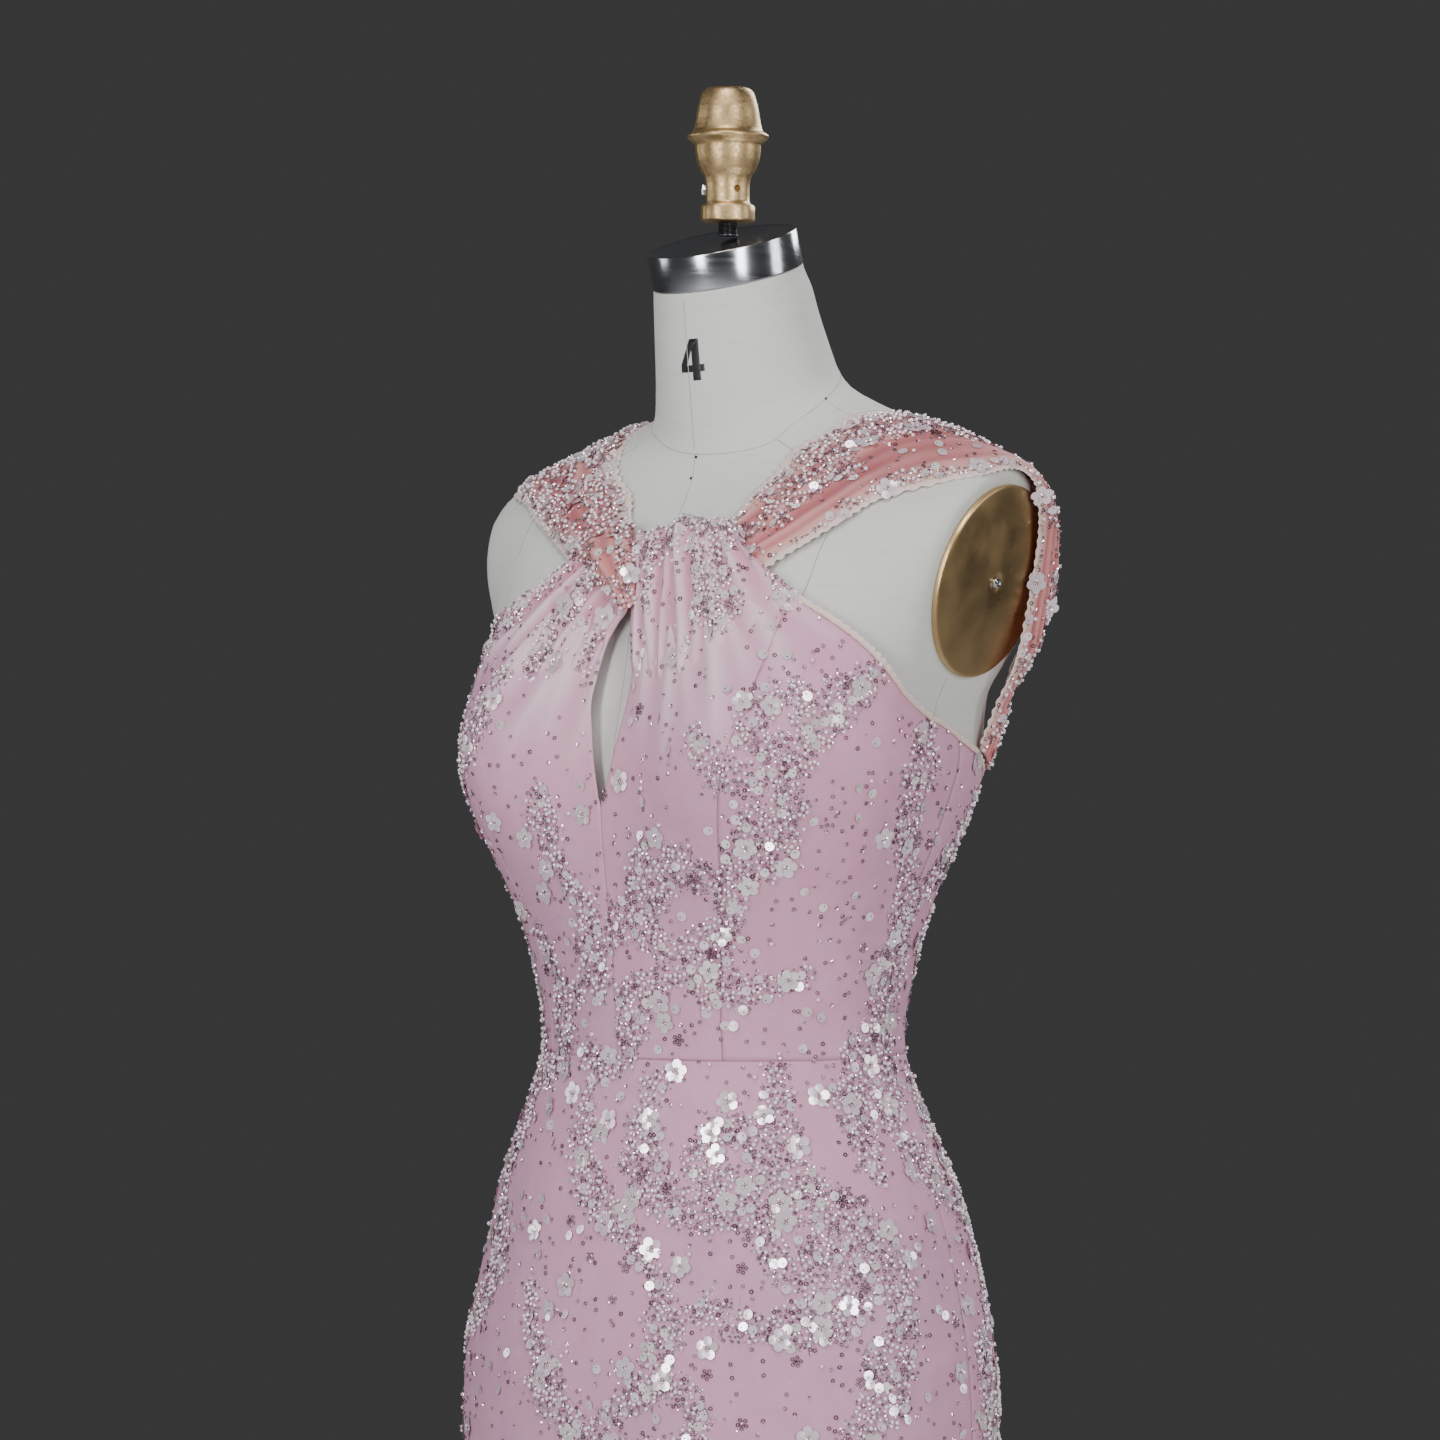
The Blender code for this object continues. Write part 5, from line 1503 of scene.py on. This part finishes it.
PLATE_DIMPLE = [(0, 5.0), (3.4, 5.05), (5.2, 5.55), (6.8, 5.88)]
PLATE_RIM = [
    (PLATE_RADIUS - 0.7, 3.02), (PLATE_RADIUS - 0.15, 2.7), (PLATE_RADIUS, 2.1),
    (PLATE_RADIUS, 0.2), (PLATE_RADIUS - 0.4, 0), (0, 0),
]
PLATE_EDGE_HEIGHT = 3.0
PLATE_DOME = 3.0
ARM_SCREW = [
    (0, 5.9), (1.15, 5.9), (1.25, 7.3), (1.7, 7.75), (2.5, 7.6), (3.15, 6.7), (3.2, 5.15),
    (0, 5.15),
]


def make_arm_plates():
    dome = [
        (share * PLATE_RADIUS, PLATE_EDGE_HEIGHT + PLATE_DOME * (1 - share**2))
        for share in np.linspace(0.16, 0.97, 16)
    ]
    profile = PLATE_DIMPLE + dome + PLATE_RIM
    for side, word in ((1, "left"), (-1, "right")):
        flip = Vector((side, 1, 1))
        normal = PLATE_NORMAL * flip
        place = set_at(PLATE_CENTRE * flip + normal * SEAT, normal)
        plate = turned(f"arm_plate_{word}_brass", profile, FINISHES["brass"], place, steps=112)
        dress(plate, "plate_brass", f"arm_plate_{word}")
        screw = turned(f"arm_screw_{word}_steel", ARM_SCREW, FINISHES["steel"], place, steps=32)
        dress(screw, "stem_steel", f"arm_screw_{word}")


BASE = [(0, 40), (17, 40), (30, 37), (44, 27), (90, 21), (184, 15), (190, 9), (190, 0), (0, 0)]
POLE = [(0, 769.7), (16, 769.7), (16, 40.3), (0, 40.3)]


def make_stand():
    pole = turned("pole_tube", rounded(POLE, 0.8), FINISHES["dark_steel"], steps=56)
    dress(pole, "stem_steel", "pole")
    base = turned("weighted_base", rounded(BASE, 5, 6), FINISHES["iron"], steps=112)
    dress(base, "base_iron", "base")


# ---------------------------------------------------------------- the zip

TAPE_TURN = 0.03
TAPE_GRID = (60, 7)
TAPE_WALL = 0.8 * MM
TOOTH_PITCH = 1.9 * MM
TOOTH_POINTS = (-1.1, -0.4, 0.4, 1.1)


def make_zip():
    levels = np.linspace(ZIP_END, BACK_TOP - 3 * MM, TAPE_GRID[0])[:, None]
    angles = np.pi + np.linspace(-TAPE_TURN, TAPE_TURN, TAPE_GRID[1])[None, :]
    points = figure(angles, levels, ZIP_INNER + TAPE_WALL)
    marks = {"crest": 0 * points[..., 0], "blush": 0 * points[..., 0]}
    tape = walled(grid_object("zip_tape_cloth", points, FINISHES["tulle"], marks=marks), TAPE_WALL)
    dress(tape, "beaded_tulle", "zip_tape")
    teeth = []
    for level in np.arange(ZIP_END + 2 * MM, BACK_TOP - 6 * MM, TOOTH_PITCH):
        spot = figure(np.pi, level, ZIP_INNER + 1.05 * MM)
        teeth.append([spot + np.array([shift, 0, 0]) * MM for shift in TOOTH_POINTS])
    dress(tube_mesh("zip_teeth", teeth, 0.25 * MM, FINISHES["zip"], sides=4), "zip_metal")
    for node in ("zip_slider", "zip_pull"):
        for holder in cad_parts[node].material_slots:
            holder.material = FINISHES["zip"]


# ---------------------------------------------------------------- beadwork

SEWN_GROUNDS = {}
SCROLL_BANDS = []
Ground = namedtuple("Ground", "points normals closeness")
SCROLL_STEP = 2 * MM
BAND_SPREAD = 1.2
# A band reaches this many half widths, thins out between two shares of one, and has a ragged edge
# from (scale, share) layers of soft noise.
BAND_REACH = 2.6
BAND_EDGE = (0.6, 1.5)
BAND_RAGGED = ((75, 0.45), (190, 0.35))


def keep_ground(name, points, closeness=None, outward_of=None):
    """Keeps a cloth's outer face for beads to be sewn on."""
    across = np.gradient(points, axis=1)
    upwards = np.gradient(points, axis=0)
    normals = unit(np.cross(across, upwards))
    reference = points * FLAT if outward_of is None else outward_of
    normals *= np.sign((normals * reference).sum(-1, keepdims=True))
    SEWN_GROUNDS[name] = Ground(points, normals, closeness)


def scroll_path(scroll):
    """(point, half width) along a scroll's curve on the gown."""
    start = gown_base(np.radians(scroll.angle), scroll.level * MM)
    per_radian = float(np.hypot(start[0], start[1]))
    angle, level = math.radians(scroll.angle), scroll.level * MM
    heading, spots = math.radians(scroll.heading), []
    for length, turn in scroll.pattern:
        steps = max(2, int(length * scroll.scale * MM / SCROLL_STEP))
        for _ in range(steps):
            spots.append((angle, level))
            heading += scroll.hand * math.radians(turn) / steps
            angle += math.cos(heading) * SCROLL_STEP / per_radian
            level += math.sin(heading) * SCROLL_STEP
    angles, levels = np.array(spots).T
    share = np.linspace(0, 1, len(spots))
    # narrow at both ends, and wavering along its run
    half_width = scroll.width * BAND_SPREAD * MM / 2 * (0.6 + 0.4 * np.sin(np.pi * share) ** 0.6)
    half_width *= 1 + 0.25 * np.sin(share * 17 + scroll.angle)
    return gown_base(angles, np.maximum(levels, HEM)), half_width


def all_scrolls():
    patterns = (VINE, HOOK, WAVE, CURL)
    scrolls = list(SCROLLS)
    for row, tier in enumerate(TIERS):
        for place in range(tier.count):
            angle = wrapped(tier.turned + 360 * place / tier.count)
            pattern = patterns[(place + 2 * row) % 4]
            heading = 245 + 23 * ((place * 2 + row) % 4)
            hand = 1 if (place + row) % 2 else -1
            scrolls.append(
                Scroll(angle, tier.level, heading, hand, pattern, tier.scale, tier.width)
            )
    return scrolls


def scroll_tree():
    """A search tree over all the scrolls' points, and the band's half width at each."""
    paths = [scroll_path(scroll) for scroll in all_scrolls()]
    points = np.concatenate([path[0] for path in paths])
    return search_tree(points), np.concatenate([path[1] for path in paths])


def banded(points):
    """How much each point of a grid lies in a band of beadwork."""
    if not SCROLL_BANDS:
        SCROLL_BANDS.extend(scroll_tree())
    share = closeness_to_scrolls(points.reshape(-1, 3), *SCROLL_BANDS)
    return share.reshape(points.shape[:-1])


def closeness_to_scrolls(points, tree, half_widths):
    """1 within a band of beadwork, 0 on plain cloth, uneven between."""
    share = np.zeros(len(points))
    for index, point in enumerate(points.tolist()):
        _, nearest, distance = tree.find(point)
        width = half_widths[nearest]
        if distance > BAND_REACH * width:
            continue
        place, ragged = Vector(point), 1
        for scale, amount in BAND_RAGGED:
            ragged = ragged + amount * noise.noise(place * scale)
        share[index] = 1 - smoothstep(distance / (width * ragged), *BAND_EDGE)
    return share


def spots_on(ground, per_mm2, rng):
    """Places spread evenly by area over a ground, with normals and how close each is to a band."""
    points, normals = ground.points, ground.normals
    low, right = points[:-1, :-1], points[:-1, 1:]
    high, far = points[1:, :-1], points[1:, 1:]
    area = np.linalg.norm(np.cross(far - low, high - right), axis=-1).ravel() / 2
    count = rng.poisson(area.sum() / MM**2 * per_mm2)
    quad = np.searchsorted(np.cumsum(area) / area.sum(), rng.random(count))
    row, column = np.divmod(np.minimum(quad, area.size - 1), points.shape[1] - 1)
    u, v = rng.random((2, count))

    def blended(grid):
        across, up = (u, v) if grid.ndim == 2 else (u[:, None], v[:, None])
        foot = grid[row, column] * (1 - across) + grid[row, column + 1] * across
        top = grid[row + 1, column] * (1 - across) + grid[row + 1, column + 1] * across
        return foot * (1 - up) + top * up

    closeness = None if ground.closeness is None else blended(ground.closeness)
    return blended(points), unit(blended(normals)), closeness


# A kind of bead: how far apart, how high its middle stands, how many to a square millimetre in a
# band and on plain cloth, its size's variation and its tilt.
Kind = namedtuple("Kind", "bead finish centre reach lift band field variation tilt")
KINDS = {
    "flowers": Kind("flower", "paillette", "jet", 5.2, 0.6, 0.0008, 0.00030, 0.08, 0.16),
    "rosettes": Kind("rosette", "ring", "ring", 3.4, 0.5, 0.0004, 0.00016, 0.08, 0.10),
    "paillettes": Kind("paillette", "paillette", "jet", 2.3, 0.7, 0.0055, 0.0009, 0.06, 0.30),
    "pearls": Kind("pearl", "pearl", "pearl", 1.25, 1.05, 0.052, 0.0002, 0.14, 0.5),
    "rings": Kind("ring", "ring", "ring", 1.28, 0.45, 0.052, 0.0062, 0.06, 0.35),
    "crystals": Kind("seed", "crystal", "crystal", 0.95, 0.75, 0.130, 0.0006, 0.20, 0.9),
}
# Below the hips beads are sewn further apart, down to a share of the upper gown's.
LOWER_FADE = (600 * MM, 870 * MM)
LOWER_SHARE = 0.13
# Beads are looked up by cubes of this size, which is over any two kinds' reach, may be this much
# closer than their reach, and stand at uneven heights. Places are drawn a little too thickly.
CUBE = 6.0 * MM
NEIGHBOURS = [(i, j, k) for i in (-1, 0, 1) for j in (-1, 0, 1) for k in (-1, 0, 1)]
CLOSENESS = 0.93
LEAST_LIFT, LIFT_SPREAD = 0.75, 0.5
OVERDRAW = 1.25
SEWING_SEED = 418


def too_close(place, cube, reach, taken):
    """Whether a bead would lie on one that is already sewn."""
    x, y, z = place
    for i, j, k in NEIGHBOURS:
        for other_x, other_y, other_z, other_reach in taken.get(
            (cube[0] + i, cube[1] + j, cube[2] + k), ()
        ):
            apart = (reach + other_reach) * CLOSENESS
            gap = (x - other_x) ** 2 + (y - other_y) ** 2 + (z - other_z) ** 2
            if gap < apart * apart:
                return True
    return False


def sewn_spots():
    """Where each kind of bead is sewn, kept apart from all that were sewn before it."""
    rng = np.random.default_rng(SEWING_SEED)
    tree, half_widths = SCROLL_BANDS
    taken, sewn = {}, {}
    for kind_name, kind in KINDS.items():
        for ground_name, ground in SEWN_GROUNDS.items():
            points, normals, close = spots_on(ground, kind.band * OVERDRAW, rng)
            thinned = rng.random(len(points))
            if close is None:
                close = closeness_to_scrolls(points, tree, half_widths)
            density = kind.field + (kind.band - kind.field) * close
            fading = smoothstep(points[:, 2], *LOWER_FADE)
            density = density * (LOWER_SHARE + (1 - LOWER_SHARE) * fading)
            kept = np.flatnonzero(thinned * kind.band < density)
            spots, reach = [], kind.reach * MM
            for index in kept.tolist():
                place = points[index].tolist()
                cube = tuple(int(value // CUBE) for value in place)
                if not too_close(place, cube, reach, taken):
                    taken.setdefault(cube, []).append((*place, reach))
                    spots.append(index)
            lift = kind.lift * MM * (LEAST_LIFT + LIFT_SPREAD * rng.random(len(spots)))
            places = points[spots] + normals[spots] * lift[:, None]
            sewn[kind_name, ground_name] = (places, normals[spots])
    return sewn


def ring_rows(rows, sides):
    """Points and faces of a small turned form; a row of radius 0 is one point."""
    points, faces, starts = [], [], []
    for radius, height in rows:
        starts.append(len(points))
        turns = [0] if radius == 0 else np.arange(sides) * 2 * np.pi / sides
        points += [(radius * math.cos(turn), radius * math.sin(turn), height) for turn in turns]
    for row in range(len(rows) - 1):
        upper, lower = starts[row], starts[row + 1]
        for side in range(sides):
            after = (side + 1) % sides
            if rows[row][0] == 0:
                faces.append((upper, lower + side, lower + after))
            elif rows[row + 1][0] == 0:
                faces.append((upper + after, upper + side, lower))
            else:
                faces.append((upper + side, lower + side, lower + after, upper + after))
    return points, faces


# Small turned forms, as (radius, height) rows in mm and how many sides they have.
PEARL = ([(0, 1.4), (1.15, 0.75), (1.35, -0.35), (0, -1.0)], 6)
RING = ([(1.45, 0.0), (1.12, 0.42), (0.74, 0.0), (1.45, 0.0)], 5)
SEED = ([(0, 0.9), (1.0, 0.05), (0, -0.7)], 5)
DISC = ([(0, 0.14), (3.0, 0.1), (0, -0.12)], 10)
PETAL = ([(0, 0.16), (2.9, 0.1), (0, -0.12)], 8)
EYE = ([(0, 0.24), (0.55, 0.2), (0, 0)], 5)


def bead_form(name, parts, smooth=False):
    """A small mesh from (rows and sides, matrix, whether it is the bead's dark centre) parts."""
    mesh = bpy.data.meshes.new(name)
    with edited(mesh) as shell:
        centre = shell.faces.layers.float.new("centre")
        for (rows, sides), place, dark in parts:
            points, faces = ring_rows(rows, sides)
            made = [shell.verts.new(place @ Vector(point) * MM) for point in points]
            for face in faces:
                fresh = shell.faces.new([made[index] for index in face])
                fresh[centre] = float(dark)
                fresh.smooth = smooth
            if rows[0] == rows[-1]:
                bmesh.ops.remove_doubles(shell, verts=made, dist=1e-7)
        bmesh.ops.recalc_face_normals(shell, faces=shell.faces)
    return linked(name, mesh)


def moved(x=0.0, y=0.0, z=0.0, scale=1.0, lean=0.0, turn=0.0):
    place = Matrix.Rotation(turn, 4, "Z") @ Matrix.Translation((x, y, z))
    return place @ Matrix.Rotation(lean, 4, "Y") @ Matrix.Scale(scale, 4)


def bead_forms():
    petals = []
    for index in range(5):
        lean = -0.14 + 0.05 * index
        place = moved(4.1, 0, 0.2 + 0.25 * (index % 2), 1.0, lean, index * 2 * math.pi / 5)
        petals.append((PETAL, place, False))
    stamens = [
        (RING, moved(1.5, 0, 1.1, 0.85, 0.35, 0.5), False),
        (SEED, moved(1.5, 0, 1.2, 1.2, 0.2, 2.6), False),
        (SEED, moved(1.4, 0, 1.3, 1.2, 0.2, 4.6), False),
        (EYE, moved(0.5, 0.3, 0.8, 1.6), True),
    ]
    rosette = [
        (RING, moved(2.5, 0, 0, 0.92, 0.12, index * 2 * math.pi / 5), False) for index in range(5)
    ]
    rosette.append((SEED, moved(z=0.6, scale=1.2), False))
    return {
        "pearl": bead_form("pearl_form", [(PEARL, moved(), False)], smooth=True),
        "ring": bead_form("ring_form", [(RING, moved(), False)]),
        "seed": bead_form("seed_form", [(SEED, moved(), False)]),
        "paillette": bead_form("paillette_form", [(DISC, moved(), False), (EYE, moved(1.2), True)]),
        "flower": bead_form("flower_form", petals + stamens),
        "rosette": bead_form("rosette_form", rosette),
    }


def sewing_tree():
    """Sets a bead on each point, faced along the cloth, and gives each its own tone."""
    tree = bpy.data.node_groups.new("Sewn beads", "GeometryNodeTree")
    sockets = {
        "Geometry": "NodeSocketGeometry",
        "Bead": "NodeSocketObject",
        "Size": "NodeSocketFloat",
        "Size variation": "NodeSocketFloat",
        "Tilt": "NodeSocketFloat",
        "Seed": "NodeSocketInt",
        "Finish": "NodeSocketMaterial",
        "Centre finish": "NodeSocketMaterial",
    }
    for name, kind in sockets.items():
        tree.interface.new_socket(name, in_out="INPUT", socket_type=kind)
    tree.interface.new_socket("Geometry", in_out="OUTPUT", socket_type="NodeSocketGeometry")
    given = tree.nodes.new("NodeGroupInput").outputs

    def add(kind, inputs, **settings):
        made = new_node(tree, kind, settings)
        for name, value in inputs.items():
            usable = [socket for socket in made.inputs if socket.enabled and socket.name == name]
            put(tree, usable[0], value)
        return [socket for socket in made.outputs if socket.enabled]

    def math_node(operation, first, second):
        made = add("ShaderNodeMath", {}, operation=operation)[0]
        for socket, value in zip(made.node.inputs, (first, second)):
            put(tree, socket, value)
        return made

    along_cloth = add(
        "GeometryNodeInputNamedAttribute", {"Name": "facing"}, data_type="FLOAT_VECTOR"
    )[0]
    aligned = add("FunctionNodeAlignRotationToVector", {"Vector": along_cloth}, axis="Z")[0]
    tilt, seed = given["Tilt"], given["Seed"]
    back = math_node("MULTIPLY", tilt, -1)
    least = add("ShaderNodeCombineXYZ", {"X": back, "Y": back, "Z": 0.0})[0]
    most = add("ShaderNodeCombineXYZ", {"X": tilt, "Y": tilt, "Z": 2 * math.pi})[0]
    spin = add(
        "FunctionNodeRandomValue",
        {"Min": least, "Max": most, "Seed": seed},
        data_type="FLOAT_VECTOR",
    )[0]
    turned_by = add("FunctionNodeEulerToRotation", {"Euler": spin})[0]
    rotation = add(
        "FunctionNodeRotateRotation",
        {"Rotation": aligned, "Rotate By": turned_by},
        rotation_space="LOCAL",
    )[0]
    low = math_node("SUBTRACT", 1.0, given["Size variation"])
    high = math_node("ADD", 1.0, given["Size variation"])
    spread = add("FunctionNodeRandomValue", {"Min": low, "Max": high, "Seed": seed})[0]
    size = math_node("MULTIPLY", spread, given["Size"])
    bead = add("GeometryNodeObjectInfo", {"Object": given["Bead"]})
    bead = [socket for socket in bead if socket.name == "Geometry"][0]
    sewn = add(
        "GeometryNodeInstanceOnPoints",
        {"Points": given["Geometry"], "Instance": bead, "Rotation": rotation, "Scale": size},
    )[0]
    tone = add("FunctionNodeRandomValue", {"Seed": seed})[0]
    toned = add(
        "GeometryNodeStoreNamedAttribute",
        {"Geometry": sewn, "Name": "tone", "Value": tone},
        data_type="FLOAT",
        domain="INSTANCE",
    )[0]
    real = add("GeometryNodeRealizeInstances", {"Geometry": toned})[0]
    finished = add("GeometryNodeSetMaterial", {"Geometry": real, "Material": given["Finish"]})[0]
    centre = add("GeometryNodeInputNamedAttribute", {"Name": "centre"}, data_type="FLOAT")[0]
    both = add(
        "GeometryNodeSetMaterial",
        {"Geometry": finished, "Selection": centre, "Material": given["Centre finish"]},
    )[0]
    out = tree.nodes.new("NodeGroupOutput")
    tree.links.new(both, out.inputs[0])
    return tree


def sew(name, tree, bead, spots, kind, seed):
    """Beads of one kind on one ground, as a plain mesh."""
    points, normals = spots
    mesh = bpy.data.meshes.new(name + "_places")
    mesh.from_pydata(points.tolist(), [], [])
    layer = mesh.attributes.new("facing", "FLOAT_VECTOR", "POINT")
    layer.data.foreach_set("vector", np.ascontiguousarray(normals, np.float32).ravel())
    obj = linked(name + "_places", mesh)
    sewing = obj.modifiers.new("Sewn beads", "NODES")
    sewing.node_group = tree
    values = {
        "Bead": bead,
        "Size": 1.0,
        "Size variation": kind.variation,
        "Tilt": kind.tilt,
        "Seed": seed,
        "Finish": FINISHES[kind.finish],
        "Centre finish": FINISHES[kind.centre],
    }
    for socket in tree.interface.items_tree:
        if socket.in_out == "INPUT" and socket.name in values:
            sewing[socket.identifier] = values[socket.name]
    sewn = evaluated_mesh(obj)
    obj.modifiers.clear()
    bpy.data.objects.remove(obj)
    bpy.data.meshes.remove(mesh)
    dress(linked(name, sewn), "beaded_tulle")


def join_spots(sewn, kind_name, grounds):
    parts = [sewn[kind_name, ground] for ground in grounds]
    return tuple(np.concatenate([part[side] for part in parts]) for side in (0, 1))


def make_beadwork():
    sewn = sewn_spots()
    tree, forms = sewing_tree(), bead_forms()
    skirt = [name for name in SEWN_GROUNDS if name.startswith("skirt")]
    rest = [name for name in SEWN_GROUNDS if name not in skirt]
    seed = 1
    for kind_name, kind in KINDS.items():
        for word, grounds in (("bodice", rest), ("skirt", skirt)):
            spots = join_spots(sewn, kind_name, grounds)
            sew(f"{kind_name}_{word}", tree, forms[kind.bead], spots, kind, seed)
            seed += 1
    for form in forms.values():
        bpy.data.objects.remove(form)
    bpy.data.node_groups.remove(tree)
    make_sewing_threads(join_spots(sewn, "rings", rest + skirt))


THREAD_REACH = (5.0 * MM, 11.0 * MM)
THREAD_FOOT = 0.94
THREAD_RADIUS = 0.11 * MM
THREAD_SAG = 0.25 * MM
THREAD_REST = 0.15 * MM
THREAD_UNDER = 0.45 * MM


def make_sewing_threads(spots):
    """The thread that runs on from one lone ring to the next."""
    points, normals = spots
    tree = search_tree(points)
    share = np.linspace(0, 1, 4)[:, None]
    sag = THREAD_SAG * np.sin(np.pi * share)
    paths, linked_pairs = [], set()
    for index, point in enumerate(points):
        _, other, distance = tree.find_n(point, 3)[1]
        if distance < THREAD_REACH[0] or distance > THREAD_REACH[1]:
            continue
        if (other, index) in linked_pairs or point[2] < THREAD_FOOT:
            continue
        linked_pairs.add((index, other))
        start, end = (points[bead] - normals[bead] * THREAD_UNDER for bead in (index, other))
        straight = start * (1 - share) + end * share
        paths.append(straight - normals[index] * (sag - THREAD_REST))
    threads = tube_mesh("sewing_threads", paths, THREAD_RADIUS, FINISHES["thread"], sides=3)
    dress(threads, "beaded_tulle")


# ---------------------------------------------------------------- floor, light and camera

VIEW_TURN = math.radians(40)
VIEW_HEIGHT = 1.2688
VIEW_DISTANCE = 3.2
VIEW_ASIDE = 4.8 * MM
LENS, SENSOR = 132.8, 36
FLOOR_REACH = 4
LAMP_AIM = Vector((0, 0, 1.25))


def make_floor():
    floor = Finish("Pale studio floor", 0.9)
    cloud = floor.ramp(floor.noise(1.5, 2.0), 0.3, 0.7)
    floor.feed("Base Color", floor.mix(cloud, (0.62, 0.62, 0.62), (0.60, 0.60, 0.605)))
    mesh = bpy.data.meshes.new("floor")
    reach = FLOOR_REACH
    corners = [(-reach, -reach, 0), (reach, -reach, 0), (reach, reach, 0), (-reach, reach, 0)]
    mesh.from_pydata(corners, [], [(0, 1, 2, 3)])
    add_object("floor", mesh, floor.material)


def softbox(name, turn, rise, distance, size, power):
    """A soft lamp round the gown; turn in degrees from the front towards the wearer's left."""
    turn, rise = math.radians(turn), math.radians(rise)
    level = math.cos(rise)
    way = Vector((math.sin(turn) * level, -math.cos(turn) * level, math.sin(rise)))
    lamp = bpy.data.lights.new(name, "AREA")
    lamp.shape = "RECTANGLE"
    lamp.size, lamp.size_y = size
    lamp.energy = power
    linked(name, lamp).matrix_world = set_at(LAMP_AIM + way * distance, way)


def make_lights():
    world = bpy.data.worlds.new("Studio grey")
    world.use_nodes = True
    background = world.node_tree.nodes["Background"].inputs
    background["Color"].default_value = (0.50, 0.50, 0.51, 1)
    background["Strength"].default_value = 0.09
    bpy.context.scene.world = world
    softbox("left_softbox", 4, 9, 2.6, (0.5, 2.2), 42)
    softbox("right_softbox", 66, 9, 2.6, (0.5, 2.2), 40)
    softbox("left_fill", -62, 10, 3.0, (0.8, 1.6), 10)
    softbox("right_fill", 124, 12, 3.0, (0.8, 1.6), 16)
    softbox("top_light", 30, 62, 2.3, (0.9, 0.9), 24)
    softbox("back_light", 185, 30, 3.0, (1.2, 1.6), 46)


def make_camera():
    lens = bpy.data.cameras.new("camera")
    lens.lens, lens.sensor_width = LENS, SENSOR
    camera = linked("camera", lens)
    sine, cosine = math.sin(VIEW_TURN), math.cos(VIEW_TURN)
    place = Vector((sine, -cosine, 0)) * VIEW_DISTANCE
    place.z = VIEW_HEIGHT
    aim = Vector((-cosine, -sine, 0)) * VIEW_ASIDE
    way = place - aim - Vector((0, 0, VIEW_HEIGHT))
    camera.matrix_world = set_at(place, way)
    bpy.context.scene.camera = camera


make_camera()
make_form_cover()
make_form_seams()
make_numeral()
make_pins()
make_cap()
make_finial()
make_arm_plates()
make_stand()
make_bodice()
make_skirt()
make_straps()
make_knots()
make_net_edges()
make_zip()
make_beadwork()
make_floor()
make_lights()
